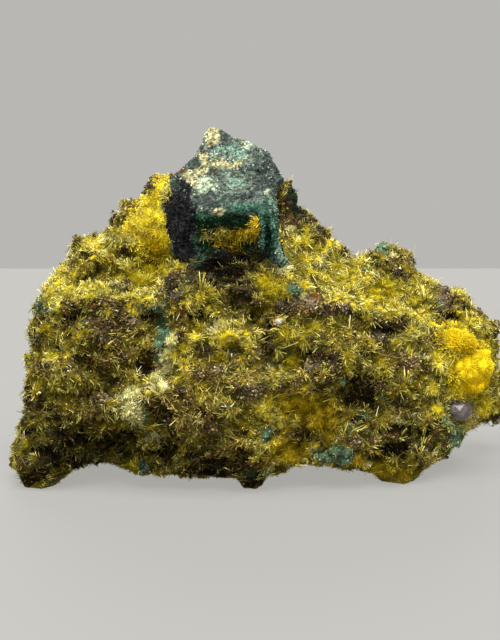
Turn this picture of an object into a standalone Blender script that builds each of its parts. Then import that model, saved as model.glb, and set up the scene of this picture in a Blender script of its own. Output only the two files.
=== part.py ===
# Uranophane and malachite specimen: a dark ore rock bristling with crystals, standing on its own feet.
# The front looks towards -Y, +Z is up, and the origin is on the ground under the middle of the specimen.
# Sizes are in millimetres. Each mesh is turned into metres when it is stored.

import math
import random

import bmesh
import bpy
from mathutils import Matrix, Vector, noise
from mathutils.bvhtree import BVHTree

MM = 0.001

# Driving dimensions
LOOK_DOWN = math.radians(14.0)  # the front outline is the one seen from this far above the horizon
FRONT_FOOT_Y = -13.0            # depth of the front feet, which the outline's heights start from
RIM_CENTRE = (0.0, 16.0)        # middle of the front outline, across and up
BACK_LOW = 16.5                 # how far back the rock reaches near the ground
BACK_HIGH = 6.5                 # and near its top
RIM_RISE = 15.0                 # how much deeper the top of the rim lies than its foot
RIM_TOP = 22.0                  # height from which it lies that deep
RIGHT_END_SETBACK = 4.0         # how far the foot of the right end stands back
RIGHT_END = (10.0, 18.0)        # where across this setback begins, and where it is full
RIGHT_END_HEIGHT = (8.0, 24.0)  # heights between which it fades out
RIGHT_CURVE = 0.07              # how strongly the right end curves back further
RIGHT_CURVE_FROM = 20.0
FRONT_CURVE = (0.004, 0.010)    # how strongly the front curves back towards its left and its right end
BACK_CURVE = 0.006              # and the back towards both ends
BACK_HEIGHT = (4.0, 36.0)       # heights between which the back leans forward
CLEARANCE = 0.3                 # gap between a mineral mass and the rock it sits in
ROCK_VOXEL = 0.75               # size of the even meshes that the relief is worked into
KNOB_VOXEL = 0.45
MASS_VOXEL = 0.55
RIM_RINGS = 14                  # rings of faces between the outline and the middle of each side
RIM_ROUNDNESS = 3.6             # higher turns the front into the back more sharply

# Triangles left in each solid before its sockets are cut and its crystals are raised
ROCK_TRIANGLES = 4120
KNOB_TRIANGLES = 1090

VIEW = Vector((0.0, math.cos(LOOK_DOWN), -math.sin(LOOK_DOWN)))

# The rock's outline as (across, up), clockwise from the left foot
ROCK_OUTLINE = [
    (-27.6, 0.0), (-28.9, 0.9), (-30.3, 2.9), (-29.7, 6.9), (-29.0, 9.2), (-28.3, 13.1), (-28.5, 16.4),
    (-27.8, 17.4), (-28.0, 19.6), (-27.8, 22.0), (-27.7, 24.0), (-26.2, 25.3), (-24.6, 27.7), (-22.8, 30.0),
    (-22.4, 32.0), (-21.0, 32.4), (-18.5, 32.0), (-17.7, 34.7), (-15.5, 37.2), (-13.6, 37.3), (-11.0, 37.6),
    (-6.0, 36.6), (-1.0, 36.6), (3.0, 38.2), (4.4, 39.7), (5.7, 39.4), (6.7, 37.4), (7.2, 35.3), (8.8, 33.8),
    (9.9, 32.4), (12.8, 30.6), (13.6, 29.5), (15.5, 29.3), (16.5, 32.3), (18.3, 31.7), (20.6, 29.4),
    (21.0, 27.4), (22.8, 26.9), (24.2, 25.1), (26.2, 26.0), (27.4, 24.9), (28.2, 23.0), (30.0, 22.2),
    (31.3, 21.8), (32.0, 20.0), (32.3, 15.6), (32.1, 11.2), (31.6, 8.3), (30.1, 7.9), (28.4, 8.1),
    (26.3, 5.8), (25.9, 4.9), (24.5, 4.3), (24.0, 2.6), (23.3, 0.8), (20.6, 1.4), (18.8, 0.8), (16.0, 1.2),
    (14.1, 2.5), (12.1, 1.8), (10.8, 2.8), (6.2, 3.4), (4.6, 3.1), (2.5, 1.6), (0.6, 0.0), (-0.5, 0.3),
    (-1.8, 1.3), (-6.2, 0.8), (-9.8, 1.3), (-11.4, 2.4), (-14.4, 2.1), (-16.5, 3.0), (-18.9, 4.1),
    (-20.2, 3.6), (-21.5, 2.6), (-23.2, 2.5), (-24.5, 1.2), (-26.0, 0.1),
]

# The malachite knob's outline in the same measure, closed low down where the rock hides it
KNOB_OUTLINE = [
    (-6.6, 26.0), (-8.4, 28.2), (-9.7, 29.8), (-10.6, 31.3), (-11.1, 33.0), (-11.1, 35.2), (-10.6, 36.8),
    (-9.6, 39.2), (-7.8, 41.2), (-6.4, 42.5), (-5.9, 44.8), (-4.8, 45.9), (-3.6, 45.5), (-2.6, 44.1),
    (0.0, 43.9), (1.2, 42.9), (2.2, 42.5), (3.0, 41.5), (3.9, 40.0), (3.9, 38.6), (3.2, 37.0),
    (3.1, 35.6), (3.5, 33.0), (4.1, 30.6), (5.1, 28.0), (4.9, 25.0), (4.0, 20.0), (-5.0, 20.0),
]

# How far forward the rock's front stands at each height up, before its lumps and hollows
FRONT_PROFILE = [
    (0.0, -14.6), (5.0, -16.0), (12.0, -17.0), (20.0, -16.8), (24.5, -15.0), (27.0, -11.5), (29.5, -8.0),
    (32.0, -5.5), (36.0, -3.0), (40.0, -1.5),
]

# How much higher the edge over the steep front runs, from left to right, and the heights between which that
# takes hold
BROW_LINE = [(-32.0, 0.0), (-14.0, 0.4), (-4.0, 0.9), (4.0, 0.5), (10.0, -2.0), (20.0, -3.0), (34.0, -3.0)]
BROW_HEIGHT = (8.0, 20.0)

# Broken faces of the rock's back: a point on each, and the way it looks
BACK_FACES = [
    ((-16.0, 9.8, 12.0), (-0.41, 0.90, 0.15)),
    ((16.0, 12.0, 12.0), (0.35, 0.90, 0.26)),
    ((1.0, 8.8, 26.5), (0.08, 0.84, 0.54)),
    ((4.0, 14.6, 8.0), (-0.06, 0.99, 0.10)),
    ((-4.0, 13.0, 2.4), (-0.10, 0.72, -0.68)),
]

# Lumps, ledges and hollows of the front: across, up, half width, half height, stands out (or in)
FRONT_RELIEF = [
    (-21.0, 24.4, 7.0, 1.3, 1.7),     # left ledge, its bright edge
    (-12.5, 24.6, 4.5, 1.1, 1.4),     # the same ledge, towards the knob
    (-19.2, 30.4, 4.2, 1.7, 3.4),     # left shoulder
    (-18.2, 27.2, 4.0, 1.2, -4.2),    # arched niche under the shoulder
    (-11.8, 28.4, 2.6, 2.6, -4.0),    # niche left of the knob
    (-24.0, 15.7, 3.2, 1.8, 1.6),     # lump above the left corner
    (-18.6, 13.6, 2.6, 2.4, -1.4),    # golden hollow beside it
    (-17.5, 19.6, 6.0, 3.0, 0.9),     # dark bulge of the left face
    (-12.0, 12.6, 2.0, 4.0, 2.0),     # pale ridge running down
    (-14.4, 9.0, 2.2, 2.4, 1.4),      # foot of the pale ridge
    (-18.6, 9.6, 7.0, 1.0, 1.3),      # brow over the low cave
    (-17.2, 5.6, 5.4, 1.9, -3.8),     # low cave
    (-25.8, 3.4, 3.2, 2.6, 0.9),      # left foot
    (-6.5, 22.6, 5.4, 0.9, 1.3),      # upper ledge of the middle
    (-7.0, 20.8, 5.6, 0.8, -1.5),     # gap under it
    (-3.0, 19.2, 5.2, 1.3, 1.2),      # bright second ledge
    (-6.0, 16.6, 5.0, 0.7, -1.1),     # gap under it
    (-1.0, 12.2, 3.0, 1.8, 0.9),      # grey knuckle
    (-8.2, 9.6, 4.2, 2.8, 1.3),       # bulge of large sprays
    (-5.0, 4.4, 4.4, 2.2, -1.4),      # hollow above the middle foot
    (1.2, 4.4, 1.7, 3.6, 2.0),        # rib down to the middle foot
    (2.1, 18.6, 0.8, 2.6, -1.8),      # upright crack
    (7.6, 23.8, 6.5, 1.0, 1.2),       # ledge over the long step
    (6.4, 21.6, 5.4, 0.7, -1.5),      # the long step's shadow line, left part
    (16.2, 22.8, 4.4, 1.4, 1.3),      # ledge of the right middle
    (16.6, 20.4, 4.8, 0.8, -2.0),     # the long step, right part
    (5.0, 16.6, 2.8, 1.8, -1.6),      # small golden hollow
    (7.6, 8.0, 4.2, 3.6, -3.0),       # large golden hollow
    (14.4, 12.4, 3.0, 2.0, -2.2),     # dark hollow
    (20.2, 15.0, 2.6, 2.6, 1.9),      # rounded lump
    (17.0, 8.0, 4.0, 1.2, 1.2),       # low ledge on the right
    (17.6, 5.4, 4.4, 0.9, -1.2),      # gap under it
    (19.0, 2.6, 3.2, 1.4, 1.3),       # right foot's lobe
    (24.6, 22.0, 1.9, 1.0, -2.4),     # niche under the right lobe
    (25.8, 24.6, 2.4, 1.5, 1.6),      # right lobe
    (17.6, 29.0, 2.4, 1.8, 1.4),      # tooth on the right ridge
    (22.4, 25.6, 1.8, 1.3, 1.0),      # smaller tooth
    (11.5, 27.6, 4.0, 2.0, 0.9),      # bright slope right of the knob
    (-2.0, 25.4, 6.0, 1.1, 1.7),      # shelf that carries the knob
    (-3.0, 30.0, 5.0, 2.4, -3.2),     # room under the knob's front
]

# Rows of ledges all over the front: how far they stand out, width and height of a ledge, and where the
# pattern starts
LEDGES = [(2.3, 6.0, 3.8, 3.7), (1.2, 3.0, 2.2, 8.3)]
LEDGE_CRACK = 0.35              # share of a ledge that falls away into the crack round it
LEDGE_LEAN = 0.45               # share by which its top stands out more than its foot
LEDGE_LEVEL = 0.75              # how far its middle stands out
LEDGE_TURN = 1.6                # how quickly its top turns into its foot

# Fine unevenness: how far it stands out, the size of its largest waves, and how the smaller ones follow: how
# quickly they fade, how much smaller each is, and how many sizes there are
ROLL_DEPTH = 0.8
ROLL_WIDTH = 6.6
ROLL_HEIGHT = 3.8
ROLL_WAVES = (0.9, 2.1, 3)
BROKEN_DEPTH = 1.2
BROKEN_SIZE = 6.2
BROKEN_WAVES = (0.8, 2.2, 5)
KNOB_ROUGH_DEPTH = 0.55
KNOB_ROUGH_SIZE = 2.9
KNOB_WAVES = (0.7, 2.2, 4)
MASS_WAVE_SCALE = 0.9
MASS_WAVES = (0.9, 2.1, 3)
LUMP_DEPTH = 2.0
LUMP_SIZE = 5.0
LUMP_CRACK = 0.4                # share of a lump that falls away into the crack round it
LUMP_LEVEL = 0.6                # share of its depth that lies inside the surface
OUTLINE_SHARE = 0.4             # how much of the unevenness may change the outline
FACING = (0.1, 0.75)            # how squarely a surface faces a side for its relief to begin, and to be full

# Broad swellings and hollows of the back: x, z, half width, half height, stands out (or in)
BACK_RELIEF = [
    (-6.0, 21.0, 9.0, 2.4, 1.6),
    (9.0, 15.0, 6.0, 4.0, -2.6),
    (20.0, 10.0, 4.0, 4.6, 1.6),
    (-14.0, 12.0, 4.4, 3.4, -2.2),
    (-1.0, 9.0, 3.4, 5.0, 1.4),
    (-22.0, 18.0, 3.4, 3.0, 1.2),
    (14.0, 24.0, 5.0, 1.8, 1.4),
    (-3.0, 29.5, 9.0, 3.0, 2.4),
]

# Mineral masses that sit in the rock's front: name, mineral, where it is seated, as across, up and how
# deep, and its lumps, each a place from there and radii
MASSES = [
    ("uranophane_cushion_left", "uranophane", (-12.3, 33.0, 0.2), [
        ((0.0, 0.0, 0.0), (2.4, 2.3, 2.5)),
        ((0.5, 1.6, 2.4), (1.9, 2.2, 2.7)),
        ((0.9, -1.2, -1.2), (1.6, 1.8, 1.7)),
        ((1.5, 2.0, 4.1), (1.9, 1.9, 2.2)),
    ]),
    ("uranophane_cushion_right", "uranophane", (28.1, 15.4, -0.7), [
        ((-0.7, -1.2, 0.2), (1.8, 2.2, 2.3)),
        ((0.9, 0.0, 0.0), (1.7, 2.2, 2.4)),
        ((-0.2, -0.7, -1.5), (1.8, 2.1, 1.8)),
    ]),
    ("uranophane_cushion_small", "uranophane", (25.8, 19.0, 0.2), [
        ((0.0, 0.0, 0.0), (1.4, 1.6, 1.1)),
        ((1.0, -0.1, -0.4), (1.2, 1.5, 1.0)),
    ]),
    ("heterogenite_nub", "heterogenite", (26.3, 10.1, 0.3), [
        ((0.0, 0.0, 0.0), (1.9, 1.9, 1.55)),
    ]),
]
# How uneven such a mass is, and the triangles left in it
MASS_GRAIN = {"uranophane": 0.35, "heterogenite": 0.12}
MASS_TRIANGLES = {"uranophane": 200, "heterogenite": 130}

# Colour and roughness of each material
FINISHES = {
    "dark ore": ((0.09, 0.07, 0.02), 0.85),
    "malachite": ((0.10, 0.16, 0.11), 0.8),
    "uranophane": ((0.70, 0.50, 0.02), 0.6),
    "heterogenite": ((0.12, 0.10, 0.11), 0.35),
}

# The knob: a block cut by its natural faces, each a point on the face and the way it looks
KNOB_LOW = (-11.8, -10.5, 25.0)
KNOB_HIGH = (5.8, 6.6, 47.0)
KNOB_FACES = [
    ((-2.5, -9.4, 35.0), (0.05, -0.70, 0.71)),    # grey-green sloping face
    ((-2.5, -9.4, 35.0), (0.00, -0.94, -0.33)),   # lower front, leaning in
    ((-9.4, -6.8, 32.0), (-0.88, -0.46, 0.10)),   # black left face
    ((4.5, -5.0, 31.0), (0.95, -0.26, 0.18)),     # right face
    ((2.2, -5.0, 38.6), (0.62, -0.36, 0.70)),     # upper right corner
    ((-3.0, 4.6, 34.0), (0.06, 0.95, 0.30)),      # back
    ((-3.0, 2.2, 43.0), (-0.10, 0.62, 0.78)),     # upper back
    ((-9.0, 1.8, 36.0), (-0.74, 0.58, 0.34)),     # back left corner
    ((2.8, 1.8, 36.0), (0.70, 0.62, 0.36)),       # back right corner
    ((-3.0, 4.0, 28.2), (0.05, 0.72, -0.69)),     # lower back corner, hidden in the rock
    ((-2.0, -1.0, 26.4), (-0.20, 0.10, -0.97)),   # seat in the rock
]
# Hollow and ribs of the knob's front: x, z, half width, half height, stands out (or in)
KNOB_RELIEF = [
    (-3.2, 31.0, 3.4, 2.3, -2.0),     # recess filled with yellow sprays
    (1.5, 32.4, 0.6, 4.0, 1.6),       # malachite rib
    (2.2, 31.8, 0.4, 4.2, -1.5),      # groove beside it
    (2.8, 33.6, 0.7, 2.6, 1.6),       # second rib, its top
    (3.3, 30.4, 0.7, 2.2, 1.8),       # its middle
    (4.0, 28.2, 0.8, 1.5, 1.6),       # and its foot, which turns aside
    (-5.0, 41.0, 1.2, 1.6, 0.8),      # tooth at the top
]

# Crystals on the rock: tall points on inset faces, and low ones that take a whole face
TALL_POINTS = 190
LOW_POINTS = 446
POINT_INSET = 0.26
TALL_HEIGHT = (0.8, 1.5)
LOW_HEIGHT = (0.45, 0.85)
SPRAY_SIZE = 3.4                # crystals lean away from the middle of a spray of this size
SPRAY_SPREAD = 1.6              # and this much
CRYSTAL_CLEAR = 1.7             # they stay this far from the masses that sit in the rock
GROUND_CLEAR = 1.8              # and this far above the ground
SMALLEST_EDGE = 0.7             # a face with a shorter edge carries no crystal

# Broad feet that touch the ground: x, y, radius
FEET = [(-26.0, -12.0, 2.8), (0.4, -12.0, 1.6), (18.6, -9.4, 2.6), (23.0, 8.0, 4.0), (-20.0, 6.0, 4.5),
        (2.0, 11.0, 5.0)]
FOOT_CUT = 0.2                  # the feet are cut flat at this height
UNDERSIDE_TOP = 1.5             # whatever looks down from below this height is underside
LOOKS_DOWN = -0.5               # a normal with a lower z looks down
UNDERSIDE_LIFT = 1.3            # underside is lifted this much between the feet
LIFT_FROM = (0.9, 1.7)          # between these distances from a foot, in its radii
UNDERSIDE_WAVE = (0.65, 0.35)   # the lift's steady share, and the share that comes and goes
UNDERSIDE_WAVE_SCALE = 0.3
FOOT_PRESS = 0.6                # the middle of a foot is lowered this much
PRESS_UNTIL = (0.5, 1.3)        # and less between these distances, in its radii


def clear_scene():
    for obj in list(bpy.data.objects):
        bpy.data.objects.remove(obj, do_unlink=True)


def smooth_step(value, low, high):
    """0 below low, 1 above high, and a smooth rise between."""
    share = min(1.0, max(0.0, (value - low) / (high - low)))
    return share * share * (3.0 - 2.0 * share)


def along(profile, value):
    """The profile's second value where its first is value, on straight runs between its points."""
    for (low, at_low), (high, at_high) in zip(profile, profile[1:]):
        if value <= high:
            share = max(0.0, (value - low) / (high - low))
            return at_low + share * (at_high - at_low)
    return profile[-1][1]


def bump(x, z, middle_x, middle_z, half_width, half_height):
    """A round swelling: 1 in its middle, fading to nothing outside."""
    return math.exp(-((x - middle_x) / half_width) ** 2 - ((z - middle_z) / half_height) ** 2)


def seen(point):
    """Across and up of a point, as the front outline measures them."""
    up = (point.z + (point.y - FRONT_FOOT_Y) * math.tan(LOOK_DOWN)) * math.cos(LOOK_DOWN)
    return point.x, up


def placed(across, up, depth):
    """The point at this depth that is seen at across and up."""
    return Vector((across, depth, up / math.cos(LOOK_DOWN) - (depth - FRONT_FOOT_Y) * math.tan(LOOK_DOWN)))


def rim_depth(across, up):
    """Depth of the line round the rock where its front turns into its back."""
    depth = FRONT_FOOT_Y + RIM_RISE * smooth_step(up, 0.0, RIM_TOP)
    setback = RIGHT_END_SETBACK * smooth_step(across, *RIGHT_END)
    setback += RIGHT_CURVE * max(0.0, across - RIGHT_CURVE_FROM) ** 2
    return depth + setback * (1.0 - smooth_step(up, *RIGHT_END_HEIGHT))


def front_depth(across, up):
    curve = FRONT_CURVE[across > 0]
    brow = along(BROW_LINE, across) * smooth_step(up, *BROW_HEIGHT)
    return along(FRONT_PROFILE, up - brow) + curve * across * across


def back_depth(across, up):
    share = smooth_step(up, *BACK_HEIGHT)
    return BACK_LOW * (1.0 - share) + BACK_HIGH * share - BACK_CURVE * across * across


def new_object(name, bm):
    """An object in metres from a bmesh in millimetres."""
    bmesh.ops.recalc_face_normals(bm, faces=bm.faces)
    mesh = bpy.data.meshes.new(name)
    bm.to_mesh(mesh)
    bm.free()
    mesh.transform(Matrix.Scale(MM, 4))
    obj = bpy.data.objects.new(name, mesh)
    bpy.context.scene.collection.objects.link(obj)
    return obj


def opened(mesh):
    """The mesh as a bmesh in millimetres."""
    bm = bmesh.new()
    bm.from_mesh(mesh)
    bmesh.ops.transform(bm, matrix=Matrix.Scale(1.0 / MM, 4), verts=bm.verts)
    bm.normal_update()
    return bm


def store(obj, bm):
    """Puts a bmesh in millimetres back into the object."""
    bmesh.ops.transform(bm, matrix=Matrix.Scale(MM, 4), verts=bm.verts)
    bm.to_mesh(obj.data)
    bm.free()


def settled(obj):
    """Applies the object's modifiers and gives the result as a bmesh in millimetres."""
    graph = bpy.context.evaluated_depsgraph_get()
    mesh = bpy.data.meshes.new_from_object(obj.evaluated_get(graph))
    obj.modifiers.clear()
    bm = opened(mesh)
    bpy.data.meshes.remove(mesh)
    return bm


def as_helper(obj):
    obj.hide_render = True
    obj.display_type = "WIRE"
    return obj


def add_boolean(obj, other, operation):
    cut = obj.modifiers.new(operation.lower(), "BOOLEAN")
    cut.operation = operation
    cut.solver = "EXACT"
    cut.object = other


def add_remesh(obj, voxel):
    remesh = obj.modifiers.new("even mesh", "REMESH")
    remesh.mode = "VOXEL"
    remesh.voxel_size = voxel * MM


def thin_out(obj, triangles):
    """Fewer faces, where the surface bends least."""
    faces = sum(len(face.vertices) - 2 for face in obj.data.polygons)
    thin = obj.modifiers.new("fewer faces", "DECIMATE")
    thin.ratio = min(1.0, triangles / faces)
    thin.use_collapse_triangulate = True
    store(obj, settled(obj))


def soften(bm, rounds):
    for _ in range(rounds):
        bmesh.ops.smooth_vert(
            bm, verts=bm.verts, factor=0.5, use_axis_x=True, use_axis_y=True, use_axis_z=True)
    bm.normal_update()


def add_box(bm, low, high):
    made = bmesh.ops.create_cube(bm, size=1.0)["verts"]
    bmesh.ops.scale(bm, vec=Vector(high) - Vector(low), verts=made)
    bmesh.ops.translate(bm, vec=(Vector(high) + Vector(low)) / 2, verts=made)


def break_faces(bm, faces):
    """Cuts the body by planes and closes it there, as rock breaks."""
    for point, normal in faces:
        everything = bm.verts[:] + bm.edges[:] + bm.faces[:]
        cut = bmesh.ops.bisect_plane(bm, geom=everything, plane_co=point, plane_no=normal, clear_outer=True)
        edges = [item for item in cut["geom_cut"] if isinstance(item, bmesh.types.BMEdge)]
        bmesh.ops.edgeloop_fill(bm, edges=edges)


def bridge(bm, ring_a, ring_b):
    for i in range(len(ring_a)):
        j = (i + 1) % len(ring_a)
        bm.faces.new((ring_a[i], ring_a[j], ring_b[j], ring_b[i]))


def rock_blank():
    """The rock before its relief: a front and a back that meet at the rim, domed like a thick lens."""
    corners = zip(ROCK_OUTLINE, ROCK_OUTLINE[1:] + ROCK_OUTLINE[:1])
    rim = [point for (a, b), (c, d) in corners for point in ((a, b), ((a + c) / 2, (b + d) / 2))]
    bm = bmesh.new()

    def ring(share, depth_at):
        bent = 1.0 - (1.0 - share ** RIM_ROUNDNESS) ** (1.0 / RIM_ROUNDNESS)
        points = []
        for across, up in rim:
            x = RIM_CENTRE[0] + share * (across - RIM_CENTRE[0])
            z = RIM_CENTRE[1] + share * (up - RIM_CENTRE[1])
            edge = rim_depth(across, up)
            depth = depth_at(x, z, edge)
            points.append(bm.verts.new(placed(x, z, depth + bent * (edge - depth))))
        return points

    def front(x, z, edge):
        return min(front_depth(x, z), edge - 1.0)

    def back(x, z, edge):
        return max(back_depth(x, z), edge + 2.0)

    shares = [math.sin(math.pi / 2 * (i + 1) / RIM_RINGS) for i in range(RIM_RINGS)]
    edge_ring = ring(1.0, front)
    for depth_at in (front, back):
        ahead = edge_ring
        for share in reversed(shares[:-1]):
            inner = ring(share, depth_at)
            bridge(bm, ahead, inner)
            ahead = inner
        middle = bm.verts.new(placed(*RIM_CENTRE, depth_at(*RIM_CENTRE, 0.0)))
        for i in range(len(ahead)):
            bm.faces.new((ahead[i], ahead[(i + 1) % len(ahead)], middle))
    bmesh.ops.recalc_face_normals(bm, faces=bm.faces)
    ground = ((0.0, 0.0, 0.0), (0.0, 0.0, -1.0))
    break_faces(bm, BACK_FACES + [ground])
    return new_object("matrix", bm)


def ledge(across, up, width, height, start):
    """Uneven lumps in rows: each stands out most along its top and falls back to the crack below it."""
    spot = Vector((across / width, start, up / height))
    distances, middles = noise.voronoi(spot)
    crack = smooth_step(distances[1] - distances[0], 0.0, LEDGE_CRACK)
    lean = max(-1.0, min(1.0, LEDGE_TURN * (spot.z - middles[0].z)))
    return crack * (LEDGE_LEVEL + LEDGE_LEAN * lean) - LEDGE_LEAN


def front_relief(across, up):
    """Named lumps and hollows of the front, and the uneven ledges between them."""
    total = sum(out * bump(across, up, x, z, w, h) for x, z, w, h, out in FRONT_RELIEF)
    total += sum(out * ledge(across, up, *size) for out, *size in LEDGES)
    spot = Vector((across / ROLL_WIDTH, 3.7, up / ROLL_HEIGHT))
    return total + ROLL_DEPTH * noise.fractal(spot, *ROLL_WAVES)


def back_relief(point):
    return sum(out * bump(point.x, point.z, x, z, w, h) for x, z, w, h, out in BACK_RELIEF)


def roughened(point, normal):
    """Where a point of the blank ends up: relief towards the viewer, and a broken surface all round."""
    facing = smooth_step(-normal.dot(VIEW), *FACING)
    behind = smooth_step(normal.y, *FACING)
    moved = point - VIEW * facing * front_relief(*seen(point))
    moved.y += behind * back_relief(point)
    broken = BROKEN_DEPTH * noise.fractal(point / BROKEN_SIZE + Vector((5.0, 1.0, 9.0)), *BROKEN_WAVES)
    distances = noise.voronoi(point / LUMP_SIZE)[0]
    lumps = LUMP_DEPTH * (smooth_step(distances[1] - distances[0], 0.0, LUMP_CRACK) - LUMP_LEVEL)
    push = normal * (broken + (1.0 - LUMP_LEVEL * facing) * lumps)
    along_view = VIEW * push.dot(VIEW)
    return moved + along_view + OUTLINE_SHARE * (push - along_view)


def lift_underside(bm):
    """The feet are set on the ground, and the underside is hollowed a little between them."""
    for vertex in bm.verts:
        x, y, z = vertex.co
        if vertex.normal.z < LOOKS_DOWN and z < UNDERSIDE_TOP:
            nearest = min(math.hypot(x - foot_x, y - foot_y) / radius for foot_x, foot_y, radius in FEET)
            steady, changing = UNDERSIDE_WAVE
            spot = Vector((x * UNDERSIDE_WAVE_SCALE, y * UNDERSIDE_WAVE_SCALE, 2.0))
            wave = steady + changing * noise.noise(spot)
            lift = UNDERSIDE_LIFT * wave * smooth_step(nearest, *LIFT_FROM)
            press = FOOT_PRESS * (1.0 - smooth_step(nearest, *PRESS_UNTIL))
            vertex.co.z = max(0.0, z + lift - press)


def rock():
    obj = rock_blank()
    add_remesh(obj, ROCK_VOXEL)
    bm = settled(obj)
    soften(bm, 3)
    moved = [roughened(vertex.co, vertex.normal) for vertex in bm.verts]
    for vertex, point in zip(bm.verts, moved):
        vertex.co = point
    store(obj, bm)
    add_remesh(obj, ROCK_VOXEL)
    bm = settled(obj)
    lift_underside(bm)
    store(obj, bm)
    thin_out(obj, ROCK_TRIANGLES)
    bm = opened(obj.data)
    break_faces(bm, [((0.0, 0.0, FOOT_CUT), (0.0, 0.0, -1.0))])
    store(obj, bm)
    return obj


def spray_lean(point):
    """Away from the middle of the spray that the point belongs to."""
    middle = noise.voronoi(point / SPRAY_SIZE)[1][0] * SPRAY_SIZE
    return (point - middle) / SPRAY_SIZE


def raise_point(bm, face, inset, height):
    """Turns a face into a crystal point that leans out of its spray."""
    way = face.normal + SPRAY_SPREAD * spray_lean(face.calc_center_median())
    if inset:
        bmesh.ops.inset_individual(bm, faces=[face], thickness=inset)
    tip = bmesh.ops.poke(bm, faces=[face])["verts"][0]
    tip.co += way.normalized() * height


def tree_of(obj):
    bm = opened(obj.data)
    tree = BVHTree.FromBMesh(bm)
    bm.free()
    return tree


def clear_of(tree, point, distance):
    """Whether the point is outside the body and this far from it."""
    nearest, normal, _, away = tree.find_nearest(point)
    return away > distance and (point - nearest).dot(normal) > 0.0


def raise_crystals(obj, neighbours):
    """Crystal points over the whole rock, except on its underside and where other masses sit."""
    draw = random.Random(7)
    trees = [tree_of(other) for other in neighbours]
    bm = opened(obj.data)
    bmesh.ops.triangulate(bm, faces=bm.faces)

    def free(face):
        centre = face.calc_center_median()
        if centre.z < GROUND_CLEAR or min(edge.calc_length() for edge in face.edges) < SMALLEST_EDGE:
            return False
        return all(clear_of(tree, centre, CRYSTAL_CLEAR) for tree in trees)

    faces = [face for face in bm.faces if free(face)]
    draw.shuffle(faces)
    taken, tall, low = set(), [], []
    for face in faces:
        if len(tall) < TALL_POINTS and not taken.intersection(face.verts):
            tall.append(face)
            edges = [edge for vertex in face.verts for edge in vertex.link_edges]
            taken.update(other for edge in edges for other in edge.verts)
    used = set(tall)
    for face in faces:
        beside = {other for edge in face.edges for other in edge.link_faces}
        if len(low) < LOW_POINTS and not used & beside:
            low.append(face)
            used.add(face)
    for face in tall:
        raise_point(bm, face, POINT_INSET, draw.uniform(*TALL_HEIGHT))
    for face in low:
        raise_point(bm, face, 0.0, draw.uniform(*LOW_HEIGHT))
    store(obj, bm)


def outline_prism(name, outline):
    """The outline drawn out along the line of sight."""
    bm = bmesh.new()
    near = [bm.verts.new(placed(x, z, -40.0)) for x, z in outline]
    far = [bm.verts.new(placed(x, z, 40.0)) for x, z in outline]
    bm.faces.new(near)
    bm.faces.new(list(reversed(far)))
    bridge(bm, near, far)
    return as_helper(new_object(name, bm))


def knob():
    """The malachite-coated knob of ore: a broken block inside its own outline."""
    bm = bmesh.new()
    add_box(bm, KNOB_LOW, KNOB_HIGH)
    break_faces(bm, KNOB_FACES)
    obj = new_object("malachite_knob", bm)
    outline = outline_prism("knob outline", KNOB_OUTLINE)
    add_boolean(obj, outline, "INTERSECT")
    add_remesh(obj, KNOB_VOXEL)
    bm = settled(obj)
    bpy.data.objects.remove(outline)
    soften(bm, 2)
    for vertex in bm.verts:
        point, normal = vertex.co.copy(), vertex.normal.copy()
        out = sum(height * bump(point.x, point.z, x, z, w, h) for x, z, w, h, height in KNOB_RELIEF)
        facing = smooth_step(-normal.y, 0.1, 0.6)
        spot = point / KNOB_ROUGH_SIZE + Vector((2.0, 8.0, 4.0))
        rough = KNOB_ROUGH_DEPTH * noise.fractal(spot, *KNOB_WAVES)
        vertex.co = point - Vector((0.0, facing * out, 0.0)) + normal * rough
    store(obj, bm)
    thin_out(obj, KNOB_TRIANGLES)
    return obj


def seat(tree, across, up, sink):
    """The point this deep under the rock's front, seen at across and up."""
    surface = tree.ray_cast(placed(across, up, -60.0), VIEW)[0]
    return surface + VIEW * sink


def mineral_mass(name, mineral, middle, lumps):
    """One body from overlapping lumps round its middle."""
    bm = bmesh.new()
    for offset, radii in lumps:
        made = bmesh.ops.create_icosphere(bm, subdivisions=4, radius=1.0)["verts"]
        bmesh.ops.scale(bm, vec=radii, verts=made)
        bmesh.ops.translate(bm, vec=middle + Vector(offset), verts=made)
    obj = new_object(name, bm)
    add_remesh(obj, MASS_VOXEL)
    bm = settled(obj)
    for vertex in bm.verts:
        rough = MASS_GRAIN[mineral] * noise.fractal(vertex.co * MASS_WAVE_SCALE, *MASS_WAVES)
        vertex.co += vertex.normal * rough
    store(obj, bm)
    thin_out(obj, MASS_TRIANGLES[mineral])
    paint(obj, mineral)
    return obj


def largest_piece(bm):
    """Drops the crumbs that a cut has split off."""
    left, pieces = set(bm.verts), []
    while left:
        stack, piece = [left.pop()], []
        while stack:
            vertex = stack.pop()
            piece.append(vertex)
            for edge in vertex.link_edges:
                other = edge.other_vert(vertex)
                if other in left:
                    left.discard(other)
                    stack.append(other)
        pieces.append(piece)
    pieces.sort(key=len)
    for piece in pieces[:-1]:
        bmesh.ops.delete(bm, geom=piece, context="VERTS")
    return bm


def cut_socket(obj, inner):
    """Takes the room of the inner body, and the gap round it, out of the object."""
    cutter = bpy.data.objects.new(inner.name + " socket", inner.data.copy())
    bpy.context.scene.collection.objects.link(as_helper(cutter))
    away = [vertex.normal * CLEARANCE * MM for vertex in cutter.data.vertices]
    for vertex, step in zip(cutter.data.vertices, away):
        vertex.co += step
    add_boolean(obj, cutter, "DIFFERENCE")
    store(obj, largest_piece(settled(obj)))
    bpy.data.objects.remove(cutter)


def paint(obj, name):
    colour, roughness = FINISHES[name]
    material = bpy.data.materials.new(name)
    material.use_nodes = True
    shader = material.node_tree.nodes["Principled BSDF"]
    shader.inputs["Base Color"].default_value = (*colour, 1.0)
    shader.inputs["Roughness"].default_value = roughness
    shader.inputs["Metallic"].default_value = 0.0
    obj.data.materials.clear()
    obj.data.materials.append(material)


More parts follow.
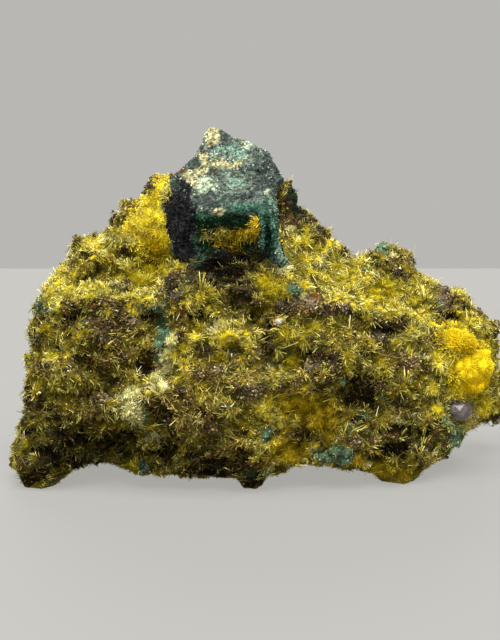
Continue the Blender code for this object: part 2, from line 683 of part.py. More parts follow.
def set_down(objects):
    """Gives each object its own middle as origin, and puts the specimen's middle over the world's."""
    corners = [vertex.co.copy() for obj in objects for vertex in obj.data.vertices]
    low = Vector(map(min, zip(*corners)))
    high = Vector(map(max, zip(*corners)))
    shift = Vector(((low.x + high.x) / 2, (low.y + high.y) / 2, low.z))
    stand = bpy.data.objects.new("specimen", None)
    bpy.context.scene.collection.objects.link(stand)
    for obj in objects:
        middle = sum((vertex.co for vertex in obj.data.vertices), Vector()) / len(obj.data.vertices)
        obj.data.transform(Matrix.Translation(-middle))
        obj.location = middle - shift
        obj.parent = stand
    print("the outline's measure starts at", [round(value / MM, 3) for value in shift])


def main():
    clear_scene()
    matrix = rock()
    boulder = knob()
    tree = tree_of(matrix)
    masses = []
    for name, mineral, where, lumps in MASSES:
        masses.append(mineral_mass(name, mineral, seat(tree, *where), lumps))
    raise_crystals(matrix, [boulder, *masses])

    for mass in [boulder, *masses]:
        cut_socket(matrix, mass)
    beside_knob = masses[0]
    cut_socket(beside_knob, boulder)

    paint(matrix, "dark ore")
    paint(boulder, "malachite")
    set_down([matrix, boulder, *masses])


main()
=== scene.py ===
# Looks of the uranophane and malachite specimen: a fine ground on each solid, and what grows on it.
# Lengths are in millimetres until a mesh is made. "Across" and "up" are places as the photo shows them.
# Every noise and every random draw has its own seed, so each run gives the same model.

import itertools
import math

import bmesh
import bpy
import numpy as np
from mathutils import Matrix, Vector
from mathutils.bvhtree import BVHTree


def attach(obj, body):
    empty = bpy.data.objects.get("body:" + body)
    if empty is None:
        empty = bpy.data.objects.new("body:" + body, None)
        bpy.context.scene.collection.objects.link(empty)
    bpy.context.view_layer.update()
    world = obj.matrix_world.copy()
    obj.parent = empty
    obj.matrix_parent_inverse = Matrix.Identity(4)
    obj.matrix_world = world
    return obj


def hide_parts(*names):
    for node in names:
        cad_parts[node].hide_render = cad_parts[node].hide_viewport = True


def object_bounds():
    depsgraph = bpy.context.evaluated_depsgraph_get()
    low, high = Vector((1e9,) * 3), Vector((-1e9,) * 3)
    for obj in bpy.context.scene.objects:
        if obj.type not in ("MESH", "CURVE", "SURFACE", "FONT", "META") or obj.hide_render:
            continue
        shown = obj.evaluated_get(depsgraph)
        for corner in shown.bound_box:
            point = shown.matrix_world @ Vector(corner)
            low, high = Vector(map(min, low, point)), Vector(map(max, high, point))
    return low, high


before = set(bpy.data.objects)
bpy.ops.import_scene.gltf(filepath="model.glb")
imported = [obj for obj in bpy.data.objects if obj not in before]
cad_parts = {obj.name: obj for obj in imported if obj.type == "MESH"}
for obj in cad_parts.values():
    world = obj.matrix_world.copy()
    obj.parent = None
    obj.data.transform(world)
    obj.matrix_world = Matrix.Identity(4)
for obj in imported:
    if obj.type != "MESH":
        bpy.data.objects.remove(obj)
cad_low, cad_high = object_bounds()

MM = 0.001
BOX_LOW = np.array(cad_low) / MM + 0.05
BOX_HIGH = np.array(cad_high) / MM - 0.05

# The photo's line of sight, and the way right and up in its picture
LOOK_DOWN = math.radians(14.0)
VIEW = np.array((0.0, math.cos(LOOK_DOWN), -math.sin(LOOK_DOWN)))
RIGHT = np.array((1.0, 0.0, 0.0))
UPWARD = np.array((0.0, math.sin(LOOK_DOWN), math.cos(LOOK_DOWN)))
FRONT_FOOT_Y = -13.0
OUTLINE_SHIFT = (1.283, -1.398)  # from the model's x and y to those that the outline was measured in
CAMERA_DISTANCE = 1.2
PICTURE_HEIGHT = 0.080
PICTURE_MIDDLE = 21.25
TABLE_END = 0.1055

KNOB, NUB, LEFT = "malachite_knob", "heterogenite_nub", "uranophane_cushion_left"
BALL, LOBE = "uranophane_cushion_right", "uranophane_cushion_small"

# What grows on the rock: colours of the ground, of a needle's foot and of its tip. The darker foot is
# partly painted shade at the base, the paler tip partly a painted highlight
COLOURS = {
    "olive": ((0.175, 0.128, 0.006), (0.22, 0.166, 0.008), (0.66, 0.58, 0.13)),
    "yellow": ((0.48, 0.37, 0.008), (0.54, 0.43, 0.014), (1.0, 0.90, 0.24)),
    "gold": ((0.36, 0.270, 0.004), (0.36, 0.270, 0.005), (0.66, 0.56, 0.05)),
    "honey": ((0.33, 0.228, 0.003), (0.33, 0.230, 0.004), (0.58, 0.43, 0.03)),
    "tan": ((0.110, 0.076, 0.012), (0.155, 0.108, 0.016), (0.60, 0.46, 0.12)),
    "pale": ((0.34, 0.310, 0.10), (0.44, 0.400, 0.14), (1.0, 0.94, 0.42)),
    "brown": ((0.078, 0.048, 0.016), (0.105, 0.070, 0.014), (0.46, 0.37, 0.12)),
    "dark": ((0.014, 0.008, 0.001), (0.024, 0.016, 0.002), (0.15, 0.120, 0.024)),
    "grey": ((0.095, 0.072, 0.044), (0.11, 0.083, 0.046), (0.48, 0.39, 0.25)),
    "rust": ((0.13, 0.055, 0.012), (0.20, 0.095, 0.014), (0.52, 0.32, 0.08)),
    "green": ((0.074, 0.130, 0.068), (0.11, 0.19, 0.10), (0.40, 0.50, 0.28)),
    "pine": ((0.030, 0.052, 0.030), (0.040, 0.062, 0.034), (0.16, 0.21, 0.12)),
}

# In the same order: how densely needles stand, the shortest, the longest, their width, how many grains
# lie there, how much tones differ, how ragged the patches are, how readily the kind shows where the photo
# doesn't look, how much it likes crests (hollows with a minus sign), and 1 for a crust with raised ground
GROWTH = (
    (0.80, 0.5, 1.35, 0.072, 0.32, 0.36, 0.11, 0.42, 0.00, 0),
    (1.00, 0.4, 1.20, 0.072, 0.30, 0.30, 0.11, 0.18, 0.06, 0),
    (1.30, 0.5, 1.00, 0.052, 0.03, 0.20, 0.11, 0.20, -0.10, 0),
    (1.30, 0.5, 1.10, 0.052, 0.03, 0.22, 0.11, 0.08, -0.10, 0),
    (0.75, 0.8, 1.50, 0.085, 0.30, 0.45, 0.11, 0.14, 0.00, 0),
    (0.85, 0.3, 0.80, 0.066, 0.55, 0.34, 0.14, 0.02, 0.10, 1),
    (0.26, 0.4, 1.00, 0.062, 1.00, 0.45, 0.20, 0.34, 0.10, 1),
    (0.45, 0.5, 1.20, 0.060, 0.30, 0.40, 0.11, 0.24, -0.14, 0),
    (0.15, 0.25, 0.7, 0.058, 1.20, 0.45, 0.20, 0.16, 0.04, 1),
    (0.35, 0.3, 0.80, 0.060, 1.00, 0.40, 0.14, -0.05, 0.00, 1),
    (0.45, 0.2, 0.45, 0.056, 0.60, 0.40, 0.12, -0.02, 0.00, 1),
    (0.20, 0.3, 0.60, 0.056, 0.80, 0.40, 0.11, -0.05, 0.00, 1),
)
NAMES = list(COLOURS)
GROUND, FOOT, TIP = (np.array(colours) for colours in zip(*COLOURS.values()))
(DENSITY, SHORTEST, LONGEST, WIDTH, GRAINS,
 UNEVEN, RAGGED, ELSEWHERE, CREST_LIKES, BARE) = np.array(GROWTH).T
OLIVE_CLAIM = 0.36  # olive has no patches, and fills what no patch claims

# Where each kind grows on the front: across, up, half width, half height and how strongly
PATCHES = {
    "yellow": [
        (-24, 26.4, 2.4, 2, 1.2), (-24.8, 24.3, 1.8, 1.2, 1.2), (-24.2, 23, 1.1, 0.9, 1.1),
        (-20.5, 24.7, 3.6, 0.9, 1.1), (-14.5, 24.5, 3.2, 1, 0.9), (-18.9, 31, 2.6, 0.9, 0.8),
        (-19.6, 29.3, 2.4, 1.8, 0.55), (-15.4, 33.4, 1.2, 1.3, 0.8), (-24.8, 16.8, 1.6, 0.5, 1.2),
        (-28, 16.6, 0.6, 0.8, 0.9), (-9.6, 28.2, 1.4, 0.6, 0.9), (-7, 23.3, 2.2, 0.6, 1),
        (-4.4, 24.6, 1.3, 0.5, 0.8), (-3.8, 19, 3.6, 1.4, 0.95), (-8.2, 18.4, 2.4, 1, 0.9),
        (-9.4, 17.2, 1.6, 1.2, 0.8), (7.2, 28.4, 3.2, 2.8, 1.2), (6.8, 31.2, 2.2, 1.2, 0.9),
        (10.4, 26.6, 2.8, 2.4, 1.1), (10.6, 30.8, 1.6, 0.9, 1), (13.6, 26.6, 1.8, 1.8, 1.1),
        (14, 29.2, 1.6, 0.5, 1), (15.6, 23.3, 3.4, 1, 1), (19, 23.2, 1.6, 1.4, 1),
        (20.4, 25.9, 1.6, 0.9, 1.2), (22.2, 26.9, 1.1, 0.6, 1.2), (26.9, 24.9, 1.1, 0.9, 1.1),
        (7.4, 20.4, 2.2, 1.2, 0.9), (2.8, 9.4, 1.4, 1.5, 1.2), (-0.4, 18.4, 1.4, 0.8, 0.8),
        (-6, 12, 1.6, 1.4, 0.6), (26, 12.4, 2.6, 1.1, 1.2), (23, 12.6, 1.8, 1.8, 0.8),
        (24.2, 16, 1.8, 1.6, 0.7), (16.4, 15.4, 0.9, 1.4, 0.8), (28.5, 20.8, 2, 1.2, 0.7),
        (22.6, 21.4, 1.6, 1.4, 0.7), (12.2, 15.2, 1, 1, 0.7), (-13, 13.6, 1.4, 0.9, 0.7),
        (-28, 5.2, 0.9, 0.8, 0.8), (0.8, 4.4, 1.1, 0.9, 0.7), (21, 19.4, 1.6, 1.2, 0.6),
        (25.4, 15.2, 1.8, 2, 1.1), (19.4, 18.2, 1.6, 0.7, 0.8), (21.2, 24.2, 1.5, 1, 1),
        (-8.6, 14.2, 1.4, 1, 0.9), (-4, 17, 2.4, 0.7, 0.9), (22.8, 9.6, 1.6, 1.2, 0.7),
        (-18.4, 21.8, 1.4, 0.9, 0.8), (-24.2, 12.4, 1.2, 0.8, 0.8),
    ],
    "gold": [
        (-12.2, 28.6, 2.4, 2.6, 1.2), (-14.5, 26.6, 2.4, 1.3, 0.9), (-21.2, 19, 1.8, 1.2, 0.6),
        (-26.2, 13, 1.1, 0.8, 0.8), (-23.4, 11.2, 0.5, 0.4, 1.1), (2.6, 24.8, 2.2, 2.3, 1.3),
        (16.6, 24.9, 2.8, 1.6, 1.1), (5.2, 19, 1.7, 1.1, 0.8), (5.2, 16, 1.2, 0.8, 1.1),
        (28.9, 12.6, 1.6, 1.8, 1.1), (29.8, 10.2, 1.2, 1.4, 1.3), (-14.6, 2.8, 0.9, 0.9, 0.9),
        (-6.6, 20, 2, 1, 0.7), (26.4, 21, 1.8, 1.2, 0.8), (-16.5, 8.2, 3, 0.8, 0.5),
        (29.6, 16.6, 0.9, 2.6, 0.8), (-17, 26.8, 1.6, 0.9, 0.6), (20, 13, 1.6, 1.2, 0.7),
        (27, 17.6, 1.8, 1, 0.8),
    ],
    "honey": [
        (7, 10.4, 3.8, 1.9, 1.2), (4.6, 4.9, 2.8, 1.7, 1.3), (9.6, 9, 2, 2.4, 1),
        (17, 2.2, 2.6, 1.3, 1.3), (20.4, 2, 2, 0.9, 1), (13, 3.3, 1.2, 0.9, 0.8),
    ],
    "tan": [
        (-8.2, 9.8, 3.4, 2.4, 0.8), (-4.8, 10.8, 2.2, 1.4, 0.7), (-10.6, 12.2, 1.6, 1.2, 0.7),
        (-19.6, 10.2, 2.4, 0.9, 0.6), (-3.4, 5.4, 2.6, 1.4, 0.6), (-0.4, 14.4, 2.2, 0.7, 0.6),
        (9.6, 13.8, 1.8, 0.9, 0.7), (-24.6, 14.4, 1.4, 1, 0.6), (19.6, 9.8, 2, 0.9, 0.7),
        (17, 16.6, 1.4, 0.8, 0.6), (-16, 17, 2, 1, 0.6), (1.6, 16.6, 1.2, 0.8, 0.5),
    ],
    "pale": [
        (-16.4, 25.6, 1, 0.5, 1.1), (-15, 31.3, 2.2, 0.4, 1.1), (-10.8, 14.8, 1.4, 1.9, 1.3),
        (-11.4, 13, 1.6, 0.9, 1.1), (-15.2, 11.2, 1.3, 1.6, 1.1), (-13.8, 9.2, 0.8, 1.6, 1.3),
        (-12.2, 7, 0.7, 0.5, 0.8), (-4.4, 20.6, 1.6, 0.8, 0.8), (-9.8, 18.4, 0.8, 0.9, 0.9),
        (4.4, 27.6, 1.1, 0.7, 1.3), (5, 32.2, 0.8, 0.5, 0.9), (9, 28.8, 1.2, 0.7, 0.8),
        (13, 28.9, 1.3, 0.4, 1), (18.2, 29, 0.9, 0.4, 1), (26.4, 25.4, 0.5, 0.4, 1.1),
        (3.2, 15.6, 1.2, 0.7, 0.9), (20.6, 19, 0.8, 0.7, 0.8), (21.8, 16.6, 1.2, 0.4, 1),
        (20.4, 9, 1.8, 1, 0.55), (17.2, 10.6, 0.9, 1, 0.5), (12.4, 8, 0.5, 0.3, 1.2),
        (-27.5, 4.5, 0.4, 0.5, 0.8), (8, 4.2, 0.6, 0.5, 1), (6.9, 24, 1, 0.5, 0.9),
        (-18.7, 21.5, 0.5, 0.5, 1), (9.4, 7, 0.4, 0.9, 0.7), (-10.6, 17.6, 0.9, 1.6, 0.8),
    ],
    "brown": [
        (-19, 23.2, 1.9, 0.8, 1), (-16.8, 20.6, 3.4, 2.4, 0.8), (-17.2, 34.6, 1.6, 1.3, 1),
        (-27, 19.6, 1.2, 2.4, 0.55), (-6.6, 27.2, 2.6, 1.6, 0.9), (4.8, 35, 1.4, 2.8, 1.2),
        (7.2, 33.9, 1.4, 0.7, 0.8), (9, 24.8, 0.8, 1.4, 0.7), (-17.6, 16.4, 3.4, 1.4, 0.6),
        (-17.2, 13, 2.2, 0.8, 0.5), (-8.4, 12.4, 2, 0.9, 0.9), (-5.8, 14.7, 2.4, 0.7, 1.1),
        (-4.6, 8.2, 1.6, 1.2, 0.8), (-2.4, 16.4, 1.4, 0.8, 0.5), (18.6, 28.6, 1.6, 0.7, 0.8),
        (19.8, 16, 1.8, 1.2, 0.9), (20.6, 16.9, 1.4, 0.4, 0.9), (19.4, 10.8, 1.4, 0.8, 0.7),
        (10.2, 15.4, 1.2, 1.4, 0.8), (8.2, 12.6, 1.2, 0.6, 0.9), (5.6, 7, 2.2, 0.8, 0.9),
        (-9.4, 9.6, 1.2, 1.6, 0.7), (23.6, 7.2, 1.8, 1.8, 0.6), (18.6, 6.2, 2.8, 0.9, 0.7),
        (1, 23.9, 1.4, 0.9, 0.8), (7.2, 14, 2, 1, 0.5), (-26.6, 3, 2.2, 1.6, 0.5),
        (8.8, 16.8, 1.6, 1.2, 0.8), (-1.8, 24.8, 1.8, 0.7, 0.8), (8.6, 32, 1.4, 0.7, 0.8),
    ],
    # Dark crust, and painted shade: in hollows, along the shadow lines under ledges and at the underside.
    "dark": [
        (-20.4, 26.2, 1, 0.4, 0.9), (-15.6, 29.4, 1.5, 1, 0.7), (-22.3, 31, 0.8, 0.8, 1.2),
        (-20.6, 32, 0.6, 0.4, 1.2), (-22.4, 21.9, 1.3, 1.2, 1.1), (-15.6, 24.9, 0.8, 0.6, 1.2),
        (-12.8, 21.6, 0.8, 0.4, 1.5), (-3.4, 29.3, 4.2, 1.5, 1.5), (-3.4, 26.6, 3.4, 1.4, 1.2),
        (-7, 21.9, 1.5, 0.5, 1.1), (-8.6, 19, 1, 0.4, 1), (0.6, 21.2, 1.3, 0.8, 0.7),
        (2.3, 18.7, 0.6, 2.2, 1.5), (2.6, 28, 0.8, 0.4, 1.3), (4.6, 22.4, 1.6, 0.4, 0.9),
        (11.6, 30.2, 1.4, 0.4, 1.1), (12.8, 26.8, 0.3, 1.1, 1.2), (18.5, 27.2, 0.6, 0.5, 1.4),
        (15.7, 29.2, 0.6, 0.5, 1.3), (24.9, 21.7, 1.1, 0.7, 1.4), (26.2, 23.2, 1.4, 0.5, 0.9),
        (31, 19.4, 1.2, 1.6, 0.8), (-20.6, 16.2, 1.5, 1.6, 0.6), (-13.1, 15.8, 0.7, 1.3, 1.5),
        (-19.3, 12.3, 1.3, 0.4, 1.3), (-27, 11, 1.3, 1.2, 1), (-11.4, 10.2, 1.6, 1.8, 0.8),
        (-22, 6.6, 2, 1, 1.4), (-16.4, 6.2, 2, 1.2, 1.3), (-24.6, 4.2, 1.8, 1.3, 1.2),
        (-21.6, 3.4, 2.8, 1, 1.1), (-27.6, 1.6, 2, 1.4, 1.1), (-18.4, 4.6, 3, 1.2, 0.6),
        (-28.6, 7.2, 1.2, 0.7, 0.9), (-6.2, 9.8, 0.9, 0.8, 1.2), (-4.1, 10.2, 0.6, 0.4, 1.2),
        (-4.2, 2.6, 4.2, 1.5, 1.2), (-10.8, 5, 1.6, 1.4, 1), (-1, 4.6, 0.6, 1.2, 1),
        (-0.8, 7, 0.7, 0.6, 1), (0.4, 0.9, 1.6, 1.2, 1.5), (13.8, 12.2, 2, 2.3, 1.4),
        (16.6, 13.6, 1.2, 0.5, 1.1), (12.9, 8.8, 0.8, 0.5, 1.1), (18.6, 7.3, 1.8, 0.6, 1.3),
        (18.6, 4.9, 3, 0.8, 1.2), (22.4, 7.2, 0.8, 0.6, 0.9), (16.2, 3.6, 1.6, 0.5, 0.8),
        (-20, 29.6, 1, 0.6, 0.8), (30.8, 8.8, 1.2, 0.9, 1.2), (18.8, 20.8, 2.2, 0.35, 0.9),
        (14, 22.2, 1.4, 0.3, 0.9), (17, 19.8, 0.9, 0.5, 1.1), (-2.6, 10.6, 0.6, 0.3, 1),
        (6.4, 5.6, 0.6, 0.6, 0.9),
    ],
    "grey": [
        (-9.9, 25.4, 1.4, 1.6, 1.5), (-14.6, 21.4, 1.2, 0.9, 1), (-18.8, 18.9, 1.1, 0.7, 0.8),
        (-16.4, 22.6, 1, 0.5, 0.8), (-0.2, 24.9, 1.4, 0.5, 1.1), (4.6, 23.3, 1.8, 0.7, 1.5),
        (8.6, 22.9, 2.4, 0.8, 1.5), (12, 23, 1.6, 0.5, 1), (0.2, 12.4, 1.9, 0.9, 1.5),
        (-4.6, 15, 1.6, 0.5, 0.9), (-18.6, 11.2, 1.6, 0.7, 1.1), (-26, 15.6, 1, 0.7, 0.8),
        (-22.8, 15, 0.9, 0.8, 0.9), (1.6, 16.4, 1.4, 1.6, 0.5), (19.8, 28.4, 1, 0.5, 0.8),
        (24.2, 23.6, 0.9, 1.1, 1), (24.6, 24.8, 0.8, 0.6, 0.9), (16.2, 19.2, 1, 1, 1.1),
        (22.4, 15, 0.5, 0.7, 1), (18.9, 11.4, 0.9, 0.5, 0.8), (10.4, 16.2, 0.9, 1.2, 0.8),
        (13.2, 5.9, 1.4, 0.5, 0.9), (-3.4, 6.8, 1.1, 0.7, 0.7), (20.4, 5.4, 1.2, 0.5, 0.8),
        (31.4, 20.2, 0.8, 0.9, 0.8), (8.2, 15.6, 0.9, 0.5, 0.9), (-9, 19, 0.7, 0.4, 0.8),
        (28, 9, 1, 0.8, 0.7), (7.8, 8.5, 0.5, 0.4, 1), (8.8, 19.9, 0.9, 0.6, 0.7),
    ],
    "rust": [
        (8.4, 24.2, 0.8, 0.8, 1.4), (8.4, 25.8, 0.5, 0.7, 1), (-5, 8.2, 0.8, 0.9, 1.1),
        (-6, 12.6, 0.7, 0.6, 1), (-9.3, 22.6, 0.8, 0.4, 1), (-11.8, 15.4, 0.4, 0.4, 1),
        (-9.9, 12.7, 0.5, 0.4, 0.9), (2, 8.6, 0.8, 0.4, 1), (0.3, 3.4, 0.8, 0.5, 0.9),
        (-18.6, 20.6, 1, 0.4, 0.9), (-6, 7.4, 0.6, 0.5, 0.9), (-8.6, 8, 0.6, 0.8, 0.7),
        (23.9, 11, 0.5, 0.4, 0.9), (-9, 27.8, 1, 0.5, 0.9), (-5.4, 18, 1, 0.3, 0.9),
    ],
    "pine": [
        (6, 37, 1, 2, 2.2), (6.6, 34.9, 0.6, 1.2, 1.6), (5.4, 38.8, 0.9, 0.6, 1.6),
        (-6.4, 28, 1.2, 0.9, 0.9), (-7.6, 26.6, 1, 0.8, 0.8), (0.2, 2, 1.2, 1.6, 0.9),
    ],
    "green": [
        (-26.6, 23.4, 0.7, 0.9, 1.5), (-25.4, 22.3, 1.2, 0.4, 1.4), (-11.6, 22.8, 1.1, 0.8, 1),
        (-11.2, 20.6, 0.8, 1.9, 1.5), (-11.3, 18.4, 0.8, 1, 1.3), (-11.4, 16.6, 0.7, 0.6, 1),
        (-12.9, 9.2, 0.5, 0.9, 0.9), (-13.4, 2.6, 0.7, 0.8, 1.6), (4.2, 28.4, 1, 0.9, 1.2),
        (5.7, 25, 1, 0.8, 1.6), (7.2, 23.9, 0.7, 0.4, 1.1), (-6.6, 28.2, 1.1, 0.6, 1.1),
        (-7.6, 26.8, 0.9, 0.5, 0.8), (16.9, 30.6, 1, 0.8, 1.5), (14.8, 27.5, 0.8, 0.5, 1.1),
        (24.8, 25.7, 1, 0.4, 1.5), (23.8, 23, 0.5, 0.6, 1), (1.9, 6.7, 0.7, 1.2, 1.6),
        (9, 4.1, 1.1, 0.9, 1.4), (11.6, 4.2, 1.1, 0.9, 1.5), (14, 9.3, 1.2, 0.5, 1.1),
        (12.4, 7.1, 0.6, 0.4, 1.1), (11.6, 13.4, 0.9, 0.5, 0.8), (17, 11.2, 0.7, 0.6, 0.8),
        (25.6, 8.2, 0.9, 2.2, 2.4), (25.9, 5.8, 0.8, 1.2, 2), (24.7, 10.2, 0.7, 0.5, 1.4),
        (28, 10.8, 0.7, 0.5, 1.3), (2.4, 1.8, 0.6, 0.8, 0.9), (-3.6, 25.8, 1.2, 0.5, 0.8),
        (8.6, 33, 0.8, 0.6, 0.8), (-13, 22.9, 0.6, 0.3, 1), (7.4, 21.3, 0.9, 0.3, 0.7),
    ],
}

# Broad stretches of the front where all growth is made darker or brighter: painted shade under overhangs,
# below the knob and at the underside, painted light on lit stretches, in part darker minerals: across, up,
# half width, half height, and how bright against the rest
PAINTED_LIGHT_AND_SHADE = [
    (-22, 4.6, 8, 3.6, 0.22), (-2, 16.8, 8, 4.8, 1.36), (13.8, 12.2, 1.8, 1.8, 1.5),
    (30.6, 16, 1.8, 7, 1.75), (-26.9, 18.2, 1.3, 2.6, 0.55), (-8, 9.6, 2.6, 1.6, 0.72),
    (-28, 2, 3.5, 3, 0.85), (-27.4, 9, 3, 3, 0.46), (-10.6, 3.6, 3, 2.6, 0.6), (-3, 27.6, 5, 2.6, 0.14),
    (-3.4, 28.4, 3.8, 1.4, 0.2), (-10, 25.4, 1.4, 1.3, 0.55), (-12.2, 30, 3, 1.8, 0.75),
    (0, 20.4, 2, 0.8, 0.6), (8.6, 16.6, 2.2, 1.6, 0.5), (5.6, 35.8, 2, 3, 0.5),
    (8.2, 31.8, 1.6, 1.4, 0.62), (-19, 30.4, 2.6, 1.2, 0.75), (-26.6, 19.8, 2.2, 2.6, 0.7),
    (17.6, 15, 1.6, 1.8, 0.65), (19, 2.6, 4, 1.6, 0.58), (-15, 27, 2.4, 1.4, 0.75),
    (8.8, 27.6, 4.6, 3, 0.66), (-3.4, 23.4, 4.4, 1.6, 0.7), (-20, 24.8, 6, 1.2, 0.6),
    (-8.2, 20.4, 1.8, 1.4, 0.62), (-22.8, 19.2, 2.6, 1.6, 0.62), (-23, 8.8, 2, 1.8, 0.7),
    (20, 12.8, 1.6, 1.2, 0.68), (-20.4, 13.6, 2, 1, 0.75), (-4.2, 2.6, 4.4, 1.8, 0.45),
    (-6.2, 10, 1.4, 1, 0.6), (-10.8, 7, 1.8, 1.4, 0.55), (-18, 9, 1.6, 1.2, 0.6),
    (16, 10.8, 1.4, 1.4, 0.65), (10, 11.4, 1.4, 1.6, 0.75), (6.2, 4.4, 1.2, 1, 0.6),
    (13.8, 12.2, 2.2, 2.2, 0.5), (17, 19.2, 2, 1.4, 0.85), (-10.6, 18.6, 2.2, 3.2, 1.3),
    (-4.4, 16.6, 3.4, 1.2, 1.45), (-5.8, 14.6, 2, 0.9, 1.9), (8.2, 22.8, 4.2, 1, 3),
    (-12.6, 15.6, 3, 5, 1.1), (20.2, 16.4, 1.8, 1, 1.3), (27.8, 9.2, 1.6, 2.6, 1.9),
    (-3, 24.2, 5, 1.4, 0.8), (25.4, 14.8, 2.2, 2.4, 1.5), (22.6, 9.4, 2.4, 2, 1.4),
    (21.2, 24.2, 1.6, 1.2, 1.4), (-18.8, 27, 2.4, 1.5, 2.3), (-12.2, 28.2, 2, 1.6, 1.35),
    (17, 19, 1.8, 1.2, 1.9), (-12.8, 8.2, 1.6, 1.4, 1.3), (2.8, 12.2, 2, 1.6, 1.3),
    (-3.2, 7.4, 3.6, 1.8, 1.25), (-6, 11, 5, 2.6, 1.15), (7.4, 10.2, 2.8, 1.6, 1.6),
    (13, 4.2, 1.6, 1.2, 1.4), (2.4, 21.6, 1.2, 0.9, 1.6), (-1.8, 10.2, 1.4, 1, 1.4),
    (21, 16.8, 1.8, 1.6, 1.4), (28.2, 17.4, 1.4, 1.6, 1.4), (25.6, 7.8, 1.4, 2.2, 2),
]

# Heaps of dark crust on the rock and on the left cushion: across, up and reach
ROCK_HEAPS = [
    (-22.9, 22.9, 0.9), (-18.8, 23.1, 1.3), (-16.9, 23, 0.8), (-15.6, 25.6, 0.7), (-20, 20.9, 0.9),
    (-17.9, 20.6, 1.1), (-15.4, 21.6, 0.9), (-16.6, 18.8, 1), (-26.6, 18.8, 0.9), (-8.8, 19.1, 0.7),
    (-5.4, 17.5, 1), (-4.1, 14.1, 1.1), (-6.2, 14.6, 1.1), (-8.8, 12.5, 0.8), (-7.9, 11.2, 0.8),
    (-0.4, 12.1, 1), (0.8, 12.6, 0.8), (-3.8, 25, 0.8), (-4.6, 26.6, 0.7), (-10, 25, 1.1),
    (-9.6, 26.4, 0.7), (-26.2, 15.6, 0.7), (-23.4, 15.9, 0.6), (-15.9, 16.9, 0.8), (-18.8, 11.2, 1),
    (-27.9, 11.2, 0.8), (0, 24.8, 0.8), (4.1, 22.1, 1.1), (5.4, 22.8, 0.9), (6.8, 22.8, 1),
    (8.4, 22.8, 1), (10, 22.9, 0.7), (3.2, 20.8, 0.6), (18.6, 20.7, 1.1), (16.9, 21, 0.7),
    (15.9, 19.1, 0.8), (18.4, 27.5, 0.9), (19.6, 26.8, 0.7), (11.6, 29.6, 0.5), (25.4, 23.8, 0.9),
    (19.1, 16.6, 0.9), (20.4, 15.9, 0.8), (10.9, 15.4, 0.9), (8.8, 17.1, 0.8), (7.6, 16.2, 0.6),
    (14.1, 13.4, 0.8), (16.6, 12.9, 0.8), (18.8, 10.9, 0.8), (2.5, 18.4, 0.6), (23.4, 26.6, 0.5),
    (-20.6, 32.1, 0.5), (-21.8, 31.4, 0.5), (-17.2, 34.2, 0.8), (-14.8, 35.8, 0.6), (7.5, 33.6, 0.8),
    (9, 32.4, 0.5), (-12.6, 22.6, 0.5), (-24, 9.6, 0.8), (-10.2, 8.6, 0.8), (-5, 8, 0.9), (13, 6.2, 0.7),
    (22, 5.6, 0.7), (-2, 16.4, 0.7), (31, 20.6, 0.6), (28.8, 22.2, 0.6),
]
CUSHION_HEAPS = [
    (-12.6, 38, 0.9), (-12.8, 37.2, 0.6), (-9.6, 39.2, 0.7), (-12, 38.9, 0.5),
]
HEAP_PLACES = 150000
HEAP_GRAINS = 95
HEAP_BROWN = (0.110, 0.066, 0.014)
HEAP_GREY = (0.105, 0.080, 0.039)
# Pale yellowish grains on the heaps, partly a painted sparkle.
HEAP_FLECK = (0.40, 0.35, 0.17)

# Loose needles on the front: across, up, way across, way up, length
LOOSE_NEEDLES = [
    (4, 17.7, 0.93, 0.36, 2.3), (-9.2, 21.2, 0.45, 0.9, 1.2), (-20.4, 20.7, 0.5, 0.85, 1),
    (12.4, 20.3, 0.1, 1, 1.6), (-16.7, 28.9, 0.6, -0.75, 0.9), (-9.6, 7, -0.3, 0.95, 1.5),
    (15.8, 9.2, 0.25, 0.97, 1.4), (-21.5, 12, -0.35, 0.93, 1.6), (8.4, 25.9, -0.5, 0.86, 1.2),
]
QUARTZ_GRAIN = (3.4, 21.0)
QUARTZ_REACH = np.array((0.72, 0.55, 0.50))

